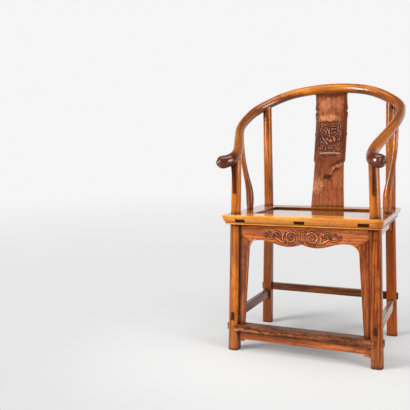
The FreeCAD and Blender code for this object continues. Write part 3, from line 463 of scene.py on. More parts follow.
def make_wood(name, axis, dark, middle, light, roughness=0.42, coat=0.70, dirt_and_shade=0.95, wear_and_highlight=0.30, pores=0.45,
              mottle=0.50, stripes=0.45, streaks=0.55, lines=0.20, blotches=0.35, underside_shade=0.60, gloss=0.07,
              dirt_and_shade_reach=0.016, grooves=0.15, carved=False, stains_and_painted_light=(), zones=(), along=(), shift=0.0):
    """A polished wood. A zone is (height, reach, tint, strength) for a change below a height, or above it
    where reach is negative. A step along the rail is (start, stop, tint, strength), from its middle."""
    wood = bpy.data.materials.new(name)
    wood.use_nodes = True
    tree = wood.node_tree
    surface = tree.nodes["Principled BSDF"]
    place = new_node(tree, "ShaderNodeTexCoord").outputs["Object"]
    if axis == "curve":
        grain = new_node(tree, "ShaderNodeAttribute", attribute_name="grain").outputs["Vector"]
    else:
        turn = new_node(tree, "ShaderNodeMapping")
        turn.inputs["Rotation"].default_value = GRAIN_TURNS[axis]
        turn.inputs["Location"].default_value = (shift, shift, 0)
        tree.links.new(place, turn.inputs["Vector"])
        grain = turn.outputs["Vector"]
    figure = new_node(tree, "ShaderNodeGroup", node_tree=FIGURE)
    tree.links.new(grain, figure.inputs["Grain"])
    marks = new_node(tree, "ShaderNodeGroup", node_tree=WEAR_DIRT_AND_LIGHT)
    marks.inputs["Dirt and shade reach"].default_value = dirt_and_shade_reach
    colour = mixed(tree, ramped(tree, figure.outputs["Bands"], *BAND_MIX), (*middle, 1), (*light, 1))
    ragged = wobbled(tree, place, RAGGED) if stains_and_painted_light or zones else place
    clean = colour
    for spot in stains_and_painted_light:
        colour = spot_mixed(tree, ragged, colour, spot)
    if stains_and_painted_light:
        facing = part_of(tree, new_node(tree, "ShaderNodeTexCoord").outputs["Normal"], "Y")
        colour = mixed(tree, ramped(tree, facing, *FRONT_ONLY), clean, colour)
    for label, share in (("Patches", mottle), ("Stripes", stripes), ("Streaks", streaks), ("Lines", lines),
                         ("Blotches", blotches)):
        colour = mixed(tree, scaled(tree, figure.outputs[label], share), colour, (*dark, 1))
    deep = (*[c * PORE_SHADE for c in dark], 1)
    colour = mixed(tree, scaled(tree, figure.outputs["Pores"], pores), colour, deep)
    showing = ramped(tree, figure.outputs["Streaks"], 0.0, 1.0, 1.0, FIGURE_SHOWS, smooth=False)
    for height, reach, tint, strength in zones:
        inside = ramped(tree, part_of(tree, ragged, "Z"), height - reach, height + reach, strength, 0.0)
        colour = mixed(tree, value_of(tree, "MULTIPLY", inside, showing), colour, (*tint, 1))
    for start, stop, tint, strength in along:
        from_middle = value_of(tree, "SUBTRACT", part_of(tree, grain, "Z"), RUN[-1] / 2)
        off = value_of(tree, "ABSOLUTE", from_middle, 0.0)
        inside = ramped(tree, off, start, stop, 0.0, strength)
        colour = mixed(tree, value_of(tree, "MULTIPLY", inside, showing), colour, (*tint, 1))
    # painted shade: the undersides turn towards the dark colour
    colour = mixed(tree, scaled(tree, marks.outputs["Painted underside shade"], underside_shade), colour, (*dark, 1))
    # wear and painted highlight: the outer corners turn a lighter gold
    gold_wear_and_highlight = tuple(min(BRIGHTEST, c * RUBBED_AND_HIGHLIGHT) for c in light)
    colour = mixed(tree, scaled(tree, marks.outputs["Wear and highlight"], wear_and_highlight), colour, (*gold_wear_and_highlight, 1))
    # dirt and painted shade: the inner corners turn near black
    grime_and_shade = tuple(c * GRIME_AND_SHADE_FACTOR for c in dark)
    colour = mixed(tree, scaled(tree, marks.outputs["Dirt and shade"], dirt_and_shade), colour, (*grime_and_shade, 1))
    if carved:
        # old wax and painted shade turn the carved ground near black; rubbing and a painted highlight turn the
        # ridge tops gold
        height = new_node(tree, "ShaderNodeAttribute", attribute_name="carved").outputs["Fac"]
        colour = mixed(tree, ramped(tree, height, 0.14, 0.70, 0.96, 0.0), colour, deep)
        colour = mixed(tree, ramped(tree, height, 0.75, 1.0, 0.0, 0.60), colour, (*gold_wear_and_highlight, 1))
    tree.links.new(colour, surface.inputs["Base Color"])
    shine = value_of(tree, "ADD", scaled(tree, figure.outputs["Streaks"], 0.12), roughness)
    tree.links.new(shine, surface.inputs["Roughness"])
    surface.inputs["Specular IOR Level"].default_value = 0.06
    polish = value_of(tree, "SUBTRACT", 1.0, scaled(tree, marks.outputs["Dirt and shade"], 0.8))
    tree.links.new(value_of(tree, "MULTIPLY", polish, coat), surface.inputs["Coat Weight"])
    surface.inputs["Coat Roughness"].default_value = gloss
    surface.inputs["Coat IOR"].default_value = 1.6
    bump = new_node(tree, "ShaderNodeBump")
    bump.inputs["Strength"].default_value = grooves
    bump.inputs["Distance"].default_value = 0.0006
    tree.links.new(figure.outputs["Streaks"], bump.inputs["Height"])
    tree.links.new(bump.outputs[0], surface.inputs["Normal"])
    return wood


# the front rail's gold is lighter than its wood, partly a painted sheen
GOLD_AND_SHEEN = dict(dark=(0.330, 0.072, 0.007), middle=(0.880, 0.300, 0.032), light=(0.980, 0.480, 0.064))
CREST = dict(dark=(0.180, 0.035, 0.003), middle=(0.500, 0.145, 0.010), light=(0.720, 0.262, 0.024))
ARM = dict(dark=(0.090, 0.017, 0.003), middle=(0.400, 0.096, 0.009), light=(0.620, 0.190, 0.020))
HONEY = dict(dark=(0.120, 0.021, 0.002), middle=(0.430, 0.098, 0.006), light=(0.670, 0.200, 0.015))
RED = dict(dark=(0.080, 0.011, 0.001), middle=(0.320, 0.056, 0.003), light=(0.530, 0.128, 0.011))
RUSSET = dict(dark=(0.095, 0.018, 0.006), middle=(0.280, 0.074, 0.024), light=(0.430, 0.136, 0.046))
APRON = dict(dark=(0.190, 0.036, 0.009), middle=(0.560, 0.140, 0.034), light=(0.800, 0.240, 0.070))
STRIP = dict(dark=(0.100, 0.020, 0.006), middle=(0.300, 0.074, 0.020), light=(0.480, 0.140, 0.044))
BRACKET = dict(dark=(0.028, 0.004, 0.001), middle=(0.085, 0.013, 0.003), light=(0.180, 0.032, 0.006))
RED_BRACKET = dict(dark=(0.036, 0.006, 0.002), middle=(0.205, 0.040, 0.005), light=(0.400, 0.098, 0.012))
FOOT = dict(dark=(0.060, 0.016, 0.006), middle=(0.460, 0.130, 0.036), light=(0.780, 0.270, 0.085))
# pale palette for the right stretcher, a painted reflection on its top
PALE_REFLECTION = dict(dark=(0.120, 0.045, 0.025), middle=(0.360, 0.180, 0.110), light=(0.520, 0.300, 0.210))
# pale palette for the splat's ledge, a painted highlight
LEDGE_HIGHLIGHT = dict(dark=(0.260, 0.100, 0.050), middle=(0.420, 0.190, 0.110), light=(0.640, 0.330, 0.210))
# dark palette for the back and left stretchers, painted shade under the seat
UMBER_SHADE = dict(dark=(0.045, 0.012, 0.005), middle=(0.140, 0.042, 0.016), light=(0.260, 0.085, 0.032))
PANEL = dict(dark=(0.080, 0.023, 0.008), middle=(0.155, 0.048, 0.016), light=(0.225, 0.080, 0.028))
INNER = dict(dark=(0.160, 0.055, 0.018), middle=(0.280, 0.110, 0.040), light=(0.380, 0.170, 0.070))
ENDS = dict(dark=(0.020, 0.005, 0.002), middle=(0.050, 0.012, 0.005), light=(0.090, 0.022, 0.009))
BROWN_ENDS = dict(dark=(0.030, 0.006, 0.003), middle=(0.080, 0.017, 0.007), light=(0.150, 0.034, 0.013))

HAND = (0.100, 0.018, 0.003)
BEND = (0.120, 0.022, 0.004)
# painted shade: the right back leg's tint below the seat
SEAT_SHADE_RED = (0.330, 0.058, 0.006)
HANDLED = (0.640, 0.200, 0.018)
# painted shade: the left back leg's tint below the seat
SEAT_SHADE_DEEP = (0.120, 0.026, 0.007)
TRODDEN = (0.045, 0.014, 0.006)
SCUFFED = (0.300, 0.115, 0.045)
MAROON = (0.110, 0.022, 0.014)

# stains and knots of the splat, with painted light among them: the darkened field is partly old wax and partly
# painted shade, the dark lines along the sunk field's top, sides and under its ledge are painted shadow, the
# dark band under the crest rail is painted shade and partly dirt, and the three pale strokes on the knot are
# painted highlights
BOARD_STAINS_AND_PAINTED_LIGHT = (
    (0, 776, 50, 74, 0, (0.090, 0.020, 0.008), 0.80), (-4, 908, 56, 38, 0, (0.620, 0.220, 0.090), 0.70),
    (6, 888, 34, 13, 12, (0.210, 0.048, 0.020), 0.60), (26, 872, 16, 8, -20, (0.190, 0.040, 0.018), 0.55),
    (-14, 857, 46, 15, 0, (0.780, 0.310, 0.135), 0.80),
    (-63, 820, 17, 190, 0, (0.060, 0.012, 0.005), 0.90), (58, 800, 20, 180, 0, (0.105, 0.022, 0.009), 0.85),
    (60, 890, 14, 70, 0, (0.150, 0.030, 0.014), 0.75), (0, 688, 70, 24, 0, (0.110, 0.024, 0.008), 0.60),
    (-6, 646, 60, 34, 0, (0.200, 0.048, 0.014), 0.60), (30, 674, 36, 6, 25, (0.040, 0.010, 0.004), 0.85),
    (43, 664, 18, 4, 15, (0.700, 0.340, 0.200), 0.60), (16, 650, 12, 4, 55, (0.760, 0.380, 0.230), 0.65),
    (30, 647, 20, 5, 35, (0.040, 0.010, 0.004), 0.85), (12, 632, 9, 4, 60, (0.640, 0.280, 0.150), 0.60),
    (-2, 620, 26, 13, 12, (0.035, 0.009, 0.004), 0.92), (8, 608, 14, 5, -20, (0.100, 0.024, 0.010), 0.80),
    (-42, 584, 26, 34, 0, (0.700, 0.300, 0.150), 0.65), (-20, 574, 5, 5, 0, (0.060, 0.014, 0.006), 0.80),
    (20, 556, 46, 40, 0, (0.340, 0.066, 0.024), 0.55), (0, 840, 46, 4, 0, (0.030, 0.008, 0.003), 0.95),
    (48, 775, 4, 66, 0, (0.050, 0.012, 0.005), 0.85), (-49, 775, 4, 66, 0, (0.030, 0.008, 0.003), 0.85),
    (0, 705, 50, 5, 0, (0.040, 0.010, 0.004), 0.80), (0, 952, 90, 16, 0, (0.080, 0.015, 0.006), 0.85),
)
RAIL_STAINS = (
    (230, 480, 200, 90, 0, (0.960, 0.310, 0.045), 0.60), (268, 482, 22, 20, 0, (0.240, 0.060, 0.016), 0.60),
    (-290, 478, 14, 24, 0, (0.300, 0.080, 0.014), 0.55),
)
ARM_STAINS = (
    (-197, 947, 8, 2.5, 30, (0.030, 0.006, 0.002), 0.85), (148, 943, 4, 3, 0, (0.030, 0.006, 0.002), 0.80),
    (166, 935, 4, 3, 0, (0.030, 0.006, 0.002), 0.80),
)
FOOT_STAINS = (
    (0, 75, 320, 5, 0, (0.040, 0.011, 0.004), 0.85), (-196, 88, 16, 5, 20, (0.035, 0.010, 0.004), 0.85),
    (-172, 93, 11, 3, 0, (0.900, 0.420, 0.170), 0.75), (-150, 84, 12, 4, -20, (0.035, 0.010, 0.004), 0.85),
    (-132, 90, 12, 3, 10, (0.850, 0.380, 0.150), 0.70), (-108, 85, 13, 4, 15, (0.040, 0.011, 0.004), 0.80),
    (-84, 91, 12, 3, -10, (0.850, 0.380, 0.150), 0.65), (-62, 84, 14, 4, 10, (0.040, 0.011, 0.004), 0.75),
    (-20, 86, 16, 4, -10, (0.050, 0.014, 0.005), 0.70), (140, 84, 90, 7, 0, (0.090, 0.022, 0.009), 0.60),
)

# painted sheen: the front rail's palette is close to the brightest
gold_sheen_wood = make_wood("gold wood with painted sheen X", "X", **GOLD_AND_SHEEN, roughness=0.34, stripes=0.15, mottle=0.10, streaks=0.30,
                      lines=0.15, blotches=0.25, underside_shade=0.95, wear_and_highlight=0.08, stains_and_painted_light=RAIL_STAINS)
crest_wood = make_wood("crest wood", "curve", **CREST, stripes=0.35, mottle=0.40, streaks=0.30, lines=0.15,
                       grooves=0.01, coat=0.6, gloss=0.20)
honey = {axis: make_wood("honey wood " + axis, axis, **HONEY, gloss=0.12, grooves=0.03, coat=coat)
         for axis, coat in (("X", 0.7), ("Y", 1.0), ("Z", 0.7))}
red_wood = make_wood("red wood Z", "Z", **RED, stripes=0.35, lines=0.20, streaks=0.60, blotches=0.40,
                     dirt_and_shade_reach=0.022)
arm_wood = make_wood("arm wood", "curve", **ARM, stripes=0.50, streaks=0.50, underside_shade=0.80, wear_and_highlight=0.12,
                     grooves=0.01, coat=1.0, gloss=0.15, stains_and_painted_light=ARM_STAINS,
                     along=((0.20, 0.34, BEND, 0.58), (0.48, 0.60, HANDLED, 0.30), (0.69, 0.78, HAND, 2.2)))
leg_wood = make_wood("honey leg wood", "Z", **HONEY, gloss=0.12, grooves=0.03, mottle=0.45, dirt_and_shade_reach=0.022,
                     zones=((0.078, 0.010, SCUFFED, 0.45), (0.500, -0.010, HANDLED, 0.35)))
red_leg_wood = make_wood("red leg wood", "Z", **RED, coat=0.5, gloss=0.16, lines=0.30, streaks=0.75,
                         blotches=0.50, dirt_and_shade_reach=0.022, shift=0.021,
                         zones=((0.078, 0.010, SCUFFED, 0.45), (0.500, -0.010, HANDLED, 0.45)))
side_post_wood = {"left": make_wood("side post wood", "Z", **HONEY, gloss=0.12,
                                    zones=((0.640, 0.070, MAROON, 0.55),)),
                  "right": honey["Z"]}
# below the seat each back leg turns darker, painted shade under the seat
back_leg_wood = {side: make_wood("back leg wood with painted shade " + side, "Z", **HONEY, coat=0.5, gloss=0.16,
                                 zones=((0.475, 0.015, tint, 0.82),))
                 for side, tint in (("left", SEAT_SHADE_DEEP), ("right", SEAT_SHADE_RED))}
russet = make_wood("red-brown wood Z", "Z", **RUSSET, coat=0.14, gloss=0.30, stripes=0.12, mottle=0.30,
                   lines=0.04, streaks=0.28, blotches=0.50, stains_and_painted_light=BOARD_STAINS_AND_PAINTED_LIGHT)
bracket_wood = {"left": make_wood("dark bracket wood", "Z", **BRACKET, coat=0.08, wear_and_highlight=0.10),
                "right": make_wood("bracket wood", "Z", **RED_BRACKET, coat=0.20, stripes=0.7, mottle=0.7)}
apron_wood = {axis: make_wood("apron wood " + axis, axis, **APRON, coat=coat, mottle=0.40, stripes=0.25,
                              lines=0.10, blotches=0.45)
              for axis, coat in (("X", 0.5), ("Y", 1.0))}
strip_wood = make_wood("strip wood", "Z", **STRIP, coat=0.4, mottle=0.60, stripes=0.50, streaks=0.75,
                       blotches=0.80)
foot_rail_wood = make_wood("foot rail wood", "X", **FOOT, coat=0.3, gloss=0.25, mottle=0.40, stripes=0.60,
                           blotches=0.90, stains_and_painted_light=FOOT_STAINS, zones=((0.089, -0.006, TRODDEN, 0.75),))
foot_apron_wood = make_wood("foot apron wood", "X", **APRON, coat=0.5, mottle=0.60, stripes=0.40, lines=0.15,
                            blotches=0.60)
carved_apron_wood = make_wood("carved apron wood", "X", **APRON, coat=0.6, gloss=0.15, mottle=0.2,
                              stripes=0.2, wear_and_highlight=0.0, grooves=0.7, carved=True)
carved_splat_wood = make_wood("carved splat wood", "Z", **RUSSET, coat=0.6, gloss=0.15, mottle=0.2,
                              stripes=0.2, wear_and_highlight=0.0, carved=True)
ledge_highlight_wood = make_wood("ledge wood with painted highlight", "X", **LEDGE_HIGHLIGHT, mottle=0.3, blotches=0.6, wear_and_highlight=0.0, carved=True)
painted_reflection_wood = make_wood("painted reflection wood Y", "Y", **PALE_REFLECTION, coat=1.0, gloss=0.15)
shaded_umber = {axis: make_wood("shaded brown wood " + axis, axis, **UMBER_SHADE, coat=0.5, mottle=0.6) for axis in ("X", "Y")}
panel_wood = make_wood("seat panel wood", "X", **PANEL, roughness=0.10, coat=0.9, wear_and_highlight=0.1, grooves=0.02,
                       stripes=0.3)
inner_wood = make_wood("unpolished wood", "Y", **INNER, roughness=0.6, coat=0.0, wear_and_highlight=0.0)
end_wood = make_wood("dark end grain", "Y", **ENDS, roughness=0.45, coat=0.1, wear_and_highlight=0.0, dirt_and_shade=0.4)
brown_end_wood = make_wood("brown end grain", "Y", **BROWN_ENDS, roughness=0.45, coat=0.1, wear_and_highlight=0.0, dirt_and_shade=0.4)
print("materials:", len(bpy.data.materials))

# %% [markdown]
# ## Dressing a piece
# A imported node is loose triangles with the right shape. Its copy is welded, its flat faces are joined into
# single faces, and its sharp edges get a small rounding, as a plane and a rag leave them. Rounded edges
# catch the light, and where two pieces meet they leave the thin dark line of a real joint. The wide flats
# keep their own direction up to the rounding, or their polish would mirror the lamps like a dented sheet.

# %% Helpers for the pieces
WELD = 0.002 * MM
FLAT = math.radians(1.0)
CREASE = math.radians(32)
SHARP = math.radians(40)
SMOOTH_TURN = math.cos(math.radians(50))


def welded(node):
    """The node's mesh as a welded bmesh."""
    shape = bmesh.new()
    shape.from_mesh(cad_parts[node].data)
    bmesh.ops.remove_doubles(shape, verts=shape.verts, dist=WELD)
    return shape


def finish_piece(shape, name, slot, material, *nodes):
    """Makes the object, smooths it between its creases, and hangs it in the frame."""
    for face in shape.faces:
        face.smooth = True
    for edge in shape.edges:
        edge.smooth = len(edge.link_faces) == 2 and edge.calc_face_angle(0) < CREASE
    mesh = bpy.data.meshes.new(name)
    shape.to_mesh(mesh)
    shape.free()
    mesh.materials.append(material)
    piece = linked(name, mesh)
    if nodes:
        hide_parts(*nodes)
    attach(piece, "root")
    return piece


def join_flats(shape):
    """Joins the triangles of every flat into one face."""
    bmesh.ops.dissolve_limit(shape, angle_limit=FLAT, use_dissolve_boundaries=False, verts=shape.verts,
                             edges=shape.edges, delimit=set())


def soften(shape, width):
    """Rounds the sharp edges between flat faces."""
    join_flats(shape)
    sharp = [e for e in shape.edges
             if len(e.link_faces) == 2 and e.calc_face_angle(0) > SHARP and e.calc_length() > width]
    bmesh.ops.bevel(shape, geom=sharp, offset=width, offset_type="OFFSET", segments=2, profile=0.5,
                    affect="EDGES", clamp_overlap=True, material=-1)


def keep_flats_flat(mesh):
    """Each corner takes the mean normal of the faces round it, weighed by area, so a narrow rounding does
    not bend the light on the wide flat beside it."""
    faces = [(face.normal.copy(), face.area) for face in mesh.polygons]
    around = [[] for _ in mesh.vertices]
    for number, face in enumerate(mesh.polygons):
        for vertex in face.vertices:
            around[vertex].append(number)
    normals = []
    for own, face in zip(faces, mesh.polygons):
        for vertex in face.vertices:
            near = [faces[n] for n in around[vertex] if faces[n][0].dot(own[0]) > SMOOTH_TURN]
            normals.append(sum((normal * area for normal, area in near), Vector()).normalized())
    mesh.normals_split_custom_set(normals)


def dress(node, slot, material, rounding=0.0):
    """A finished copy of a node that stands in for it."""
    shape = welded(node)
    if rounding:
        soften(shape, rounding)
    piece = finish_piece(shape, "wood_" + node, slot, material, node)
    if rounding:
        keep_flats_flat(piece.data)
    return piece


# %% [markdown]
# ## Seat frame and panel
# Four mitred rails hold a thin polished panel. The ends of the cross tenons show as dark blocks in the
# front rail: end grain drinks the oil and turns nearly black, so those faces get their own wood.

# %% Seat frame
SOFT_EDGE = 1.0 * MM
RAIL_TENON_REACH = 0.204
END_REACH = 1.2 * MM
END_FACING = 0.5
TENON_FACING = 0.8


def darken(piece, chosen, wood):
    """Gives an end wood to the faces for which a test is true, and counts them."""
    piece.data.materials.append(wood)
    count = 0
    for face in piece.data.polygons:
        if chosen(face):
            face.material_index = 1
            count += 1
    return count


def darken_ends(piece, axis):
    """Darkens what looks along an axis at the two ends of a piece."""
    far = max(v.co[axis] for v in piece.data.vertices)
    near = min(v.co[axis] for v in piece.data.vertices)

    def at_an_end(face):
        depth = min(abs(face.center[axis] - far), abs(face.center[axis] - near))
        return abs(face.normal[axis]) > END_FACING and depth < END_REACH

    return darken(piece, at_an_end, brown_end_wood)


def darken_rail_tenons(piece):
    """Darkens the tenon ends that look out through the front and back rails."""
    def looks_out(face):
        return abs(face.normal.y) > TENON_FACING and abs(face.center.y) > RAIL_TENON_REACH

    return darken(piece, looks_out, end_wood)


for side, wood in (("front", gold_sheen_wood), ("back", honey["X"])):
    dress("seat_rail_" + side, "honey_wood", wood, SOFT_EDGE)
for side in ("left", "right"):
    rail = dress("seat_rail_" + side, "honey_wood", honey["Y"], SOFT_EDGE)
    print("dark faces on the", side, "rail:", darken_rail_tenons(rail))
dress("seat_panel", "seat_panel_wood", panel_wood)
brace = dress("seat_brace", "unpolished_wood", inner_wood)
print("dark faces on the brace:", darken_rail_tenons(brace))

# %% [markdown]
# ## Legs, posts and rail
# These are round or nearly round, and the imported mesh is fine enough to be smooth. The bent rail's grain
# has to run along it, so each of its points finds the nearest place on the rail's centreline, and keeps
# how far along that is and how far it stands off as an attribute for the wood.

# %% Round pieces
def add_rail_grain(piece):
    """Stores, for each point, its offsets from the centreline and its distance along it."""
    grain = piece.data.attributes.new("grain", "FLOAT_VECTOR", "POINT")
    for number, vertex in enumerate(piece.data.vertices):
        _, nearest, _ = TREE.find(vertex.co)
        before, after = max(nearest - 1, 0), min(nearest + 1, len(LINE) - 1)
        along = (LINE[after] - LINE[before]).normalized()
        across = Vector((0, 0, 1)).cross(along).normalized()
        offset = vertex.co - LINE[nearest]
        run = RUN[nearest] + offset.dot(along)
        grain.data[number].vector = (offset.dot(across), offset.dot(along.cross(across)), run)


for node, wood in (("crest_center", crest_wood), ("crest_arm_left", arm_wood), ("crest_arm_right", arm_wood)):
    add_rail_grain(dress(node, "honey_wood", wood))
dress("crest_wedge_pins", "end_grain", honey["Y"])
dress("front_leg_left", "honey_wood", leg_wood)
dress("front_leg_right", "honey_wood", red_leg_wood)
for side in ("_left", "_right"):
    dress("back_leg" + side, "honey_wood", back_leg_wood[side[1:]])
    dress("side_post" + side, "honey_wood", side_post_wood[side[1:]])
    dress("hand_bracket" + side, "red_brown_wood", bracket_wood[side[1:]])
dress("bracket_pegs", "end_grain", end_wood)
print("round pieces are dressed")

# %% [markdown]
# ## Aprons and stretchers
# Flat boards with soft corners. The stretchers' tenons come right through the legs, and their dark ends
# stand a little proud.

# %% Boards
for node, wood in (("front_apron", apron_wood["X"]), ("back_apron", apron_wood["X"]),
                   ("foot_rail_apron", foot_apron_wood)):
    dress(node, "apron_wood", wood, SOFT_EDGE)
for side, wood in (("_left", strip_wood), ("_right", red_wood)):
    dress("front_apron_strip" + side, "apron_wood", wood, SOFT_EDGE)
    dress("side_apron" + side, "apron_wood", apron_wood["Y"], SOFT_EDGE)
    # the right stretcher's pale wood is a painted reflection, and the left one's dark brown is painted shade
    stretcher_wood = painted_reflection_wood if side == "_right" else shaded_umber["Y"]
    darken_ends(dress("side_stretcher" + side, "honey_wood", stretcher_wood, SOFT_EDGE), 1)
# the back stretcher's dark brown is painted shade under the seat
for node, wood in (("foot_rail", foot_rail_wood), ("back_stretcher", shaded_umber["X"])):
    darken_ends(dress(node, "honey_wood", wood, SOFT_EDGE), 0)
dress("back_splat", "red_brown_wood", russet, SOFT_EDGE)

# %% [markdown]
# ## Carving
# A carver leaves rounded ridges on a lowered ground. Every motif here is a line through a few places, each
# with its own half width, and a ridge is the row of small domes along that line. The ridges are raised on
# a fine sheet laid on the board's own front face, found by casting rays at it, and where nothing is
# carved the sheet sinks under the face and is left away. How high each point stands is kept for the wood,
# which paints the ground near black, for old wax and as painted shade in the recesses, and paints the
# ridge tops a lighter gold, for rubbing and as a painted highlight.

# %% Helpers for carving
GROUND_LIFT = 0.12
GROUND_MARGIN = 2.6
SHEET_SINK = 0.30
RIDGE_SHARE = 0.85


def smooth_line(stroke, spacing=0.5):
    """Places close together on a smooth curve through places with half widths."""
    knots = numpy.array([stroke[0]] + list(stroke) + [stroke[-1]], dtype=float)
    places = []
    for before, start, end, after in zip(knots, knots[1:], knots[2:], knots[3:]):
        steps = max(2, int(numpy.hypot(*(end - start)[:2]) / spacing))
        for t in numpy.linspace(0, 1, steps, endpoint=False):
            places.append(0.5 * (2 * start + (end - before) * t
                                 + (2 * before - 5 * start + 4 * end - after) * t ** 2
                                 + (3 * start - before - 3 * end + after) * t ** 3))
    places.append(knots[-1])
    return places


def spiral(centre, start_radius, end_radius, start_turn, turns, start_width, end_width, steps=24):
    """A line that winds in towards a centre; turns below zero wind the other way."""
    places = []
    for t in numpy.linspace(0, 1, steps):
        angle = 2 * math.pi * (start_turn + turns * t)
        radius = start_radius + (end_radius - start_radius) * t
        width = start_width + (end_width - start_width) * t
        places.append((centre[0] + radius * math.cos(angle), centre[1] + radius * math.sin(angle), width))
    return places


def on_both_sides(strokes):
    return strokes + [[(-u, v, w) for u, v, w in stroke] for stroke in strokes]


def narrowed(strokes):
    """The same strokes at the width of a finished ridge."""
    return [[(u, v, w * RIDGE_SHARE) for u, v, w in stroke] for stroke in strokes]


def raised(strokes, across, upward, height, margin=0.0):
    """Height field of a set of strokes over a grid of places, in millimetres."""
    field = numpy.zeros((len(upward), len(across)))
    step = across[1] - across[0]
    for stroke in strokes:
        for u, v, width in smooth_line(stroke):
            reach = width + margin
            first_col, last_col = numpy.searchsorted(across, (u - reach, u + reach))
            first_row, last_row = numpy.searchsorted(upward, (v - reach, v + reach))
            grid_u, grid_v = numpy.meshgrid(across[first_col:last_col], upward[first_row:last_row])
            spread = 1 - ((grid_u - u) ** 2 + (grid_v - v) ** 2) / reach ** 2
            dome = min(height, reach) * numpy.sqrt(numpy.clip(spread, 0, 1))
            part = field[first_row:last_row, first_col:last_col]
            numpy.maximum(part, dome, out=part)
    return field


def carved_sheet(name, slot, material, node, strokes, across_range, upward_range, step, height):
    """Strokes raised on a sheet that follows the node's front face."""
    across = numpy.arange(across_range[0], across_range[1], step)
    upward = numpy.arange(upward_range[0], upward_range[1], step)
    ridges = raised(strokes, across, upward, height)
    ground = raised(strokes, across, upward, 1.0, GROUND_MARGIN)
    surface = welded(node)
    tree = BVHTree.FromBMesh(surface)
    surface.free()
    shape = bmesh.new()
    layer = shape.verts.layers.float.new("carved")
    grid = {}
    for row, z in enumerate(upward):
        for col, x in enumerate(across):
            if ground[row, col] <= 0 and ground[max(row - 1, 0):row + 2, max(col - 1, 0):col + 2].max() <= 0:
                continue
            hit = tree.ray_cast(Vector((x * MM, -1.0, z * MM)), Vector((0, 1, 0)))[0]
            if hit is None:
                continue
            lift = ridges[row, col] + GROUND_LIFT if ground[row, col] > 0 else -SHEET_SINK
            vertex = shape.verts.new((x * MM, hit.y - lift * MM, z * MM))
            vertex[layer] = ridges[row, col] / height
            grid[row, col] = vertex
    for row, col in grid:
        corners = [grid.get(key) for key in ((row, col), (row, col + 1), (row + 1, col + 1), (row + 1, col))]
        if all(corners):
            shape.faces.new(corners)
    return finish_piece(shape, name, slot, material)


# %% [markdown]
# ## The apron's carving
# Two spirals turn towards a pointed leaf over the middle cusp. Outside them come a crescent, a broad leaf
# and a row of small curls that ends in a hook. One side is drawn, and the other is its mirror image.

# %% Apron carving
APRON_STROKES = narrowed(on_both_sides([
    [(0, 447, 1.2), (7.5, 437, 2.2), (8.5, 425, 2.6), (5.5, 413, 2.0), (0, 406, 1.2)],
    [(3.5, 446, 2.4), (9, 447, 1.6), (15, 445, 1.0)],
    spiral((37, 424), 22, 4.5, 0.42, -1.65, 3.0, 2.0),
    [(36, 424, 3.2), (37.5, 424.5, 3.2)],
    [(16, 410, 1.2), (24, 403, 2.0), (36, 399.5, 2.2), (47, 401, 1.4)],
    [(58, 441, 1.4), (67, 429, 3.2), (66, 414, 2.8), (56, 404, 1.2)],
    [(63, 404, 1.6), (74, 410, 4.6), (87, 418, 4.4), (97, 424, 1.6)],
    [(76, 426, 1.2), (77, 436, 2.2), (85, 442.5, 2.6), (96, 441.5, 2.4), (103, 435, 2.0), (102, 427, 1.2)],
    [(84, 427, 1.4), (86, 434, 2.0), (93, 435, 1.8), (95, 429, 1.2)],
    spiral((115, 437), 5.5, 2.0, 0.75, 1.1, 1.7, 1.4, 12),
    spiral((131, 432), 6.5, 2.2, 0.60, 1.2, 1.9, 1.4, 12),
    [(98, 421, 1.4), (109, 418, 3.0), (122, 420, 2.6), (133, 424, 1.0)],
]))
carved_sheet("carving_apron", "apron_wood", carved_apron_wood, "front_apron", APRON_STROKES,
             (-141, 141), (396, 452), 0.9, 2.2)
print("apron strokes:", len(APRON_STROKES))

# %% [markdown]
# ## The bead of the arch
# A thin bead follows the lower edge of the apron and the inner edges of its strips. Its path is read off
# the boards: those edges of the front face whose outer side looks down or towards the middle.

# %% Bead
BEAD_RADIUS = 1.7 * MM
FRONT_FACING = -0.9
OFF_MIDDLE = 0.05
LOOKS_IN = 0.2
LOOKS_LEVEL = 0.25
LOOKS_DOWN = -0.3


def arch_edge(node):
    """Places along the arch's edge on the front face of a board, in order."""
    shape = welded(node)
    join_flats(shape)
    fronts = [face for face in shape.faces if face.normal.y < FRONT_FACING]
    front = max(fronts, key=lambda face: face.calc_area())
    corners = [loop.vert.co.copy() for loop in front.loops]
    chosen = []
    middle = sum((c.x for c in corners), 0.0) / len(corners)
    for start, end in zip(corners, corners[1:] + corners[:1]):
        out = (end - start).normalized().cross(front.normal)
        looks_in = abs(middle) > OFF_MIDDLE and out.x * middle < -LOOKS_IN * abs(middle)
        chosen.append(out.z < LOOKS_LEVEL and (out.z < LOOKS_DOWN or looks_in))
    first = next(i for i in range(len(corners)) if chosen[i] and not chosen[i - 1])
    places = []
    for step in range(len(corners)):
        number = (first + step) % len(corners)
        if not chosen[number]:
            break
        start, end = corners[number], corners[(number + 1) % len(corners)]
        inward = -(end - start).normalized().cross(front.normal)
        places.append(start + inward * BEAD_RADIUS)
        places.append(end + inward * BEAD_RADIUS)
    shape.free()
    return places


def rod(name, slot, material, places, radius):
    """A thin round rod along a line of places."""
    curve = bpy.data.curves.new(name, "CURVE")
    curve.dimensions = "3D"
    spline = curve.splines.new("POLY")
    spline.points.add(len(places) - 1)
    for point, place in zip(spline.points, places):
        point.co = (*place, 1)
    curve.bevel_depth = radius
    curve.bevel_resolution = 2
    curve.use_fill_caps = True
    mesh = mesh_of(curve)
    shape = bmesh.new()
    shape.from_mesh(mesh)
    bpy.data.meshes.remove(mesh)
    return finish_piece(shape, name, slot, material)


for node in ("front_apron", "front_apron_strip_left", "front_apron_strip_right"):
    edge = arch_edge(node)
    rod("bead_" + node, "apron_wood", honey["Z"], edge, BEAD_RADIUS)
    print("bead places on", node, len(edge))

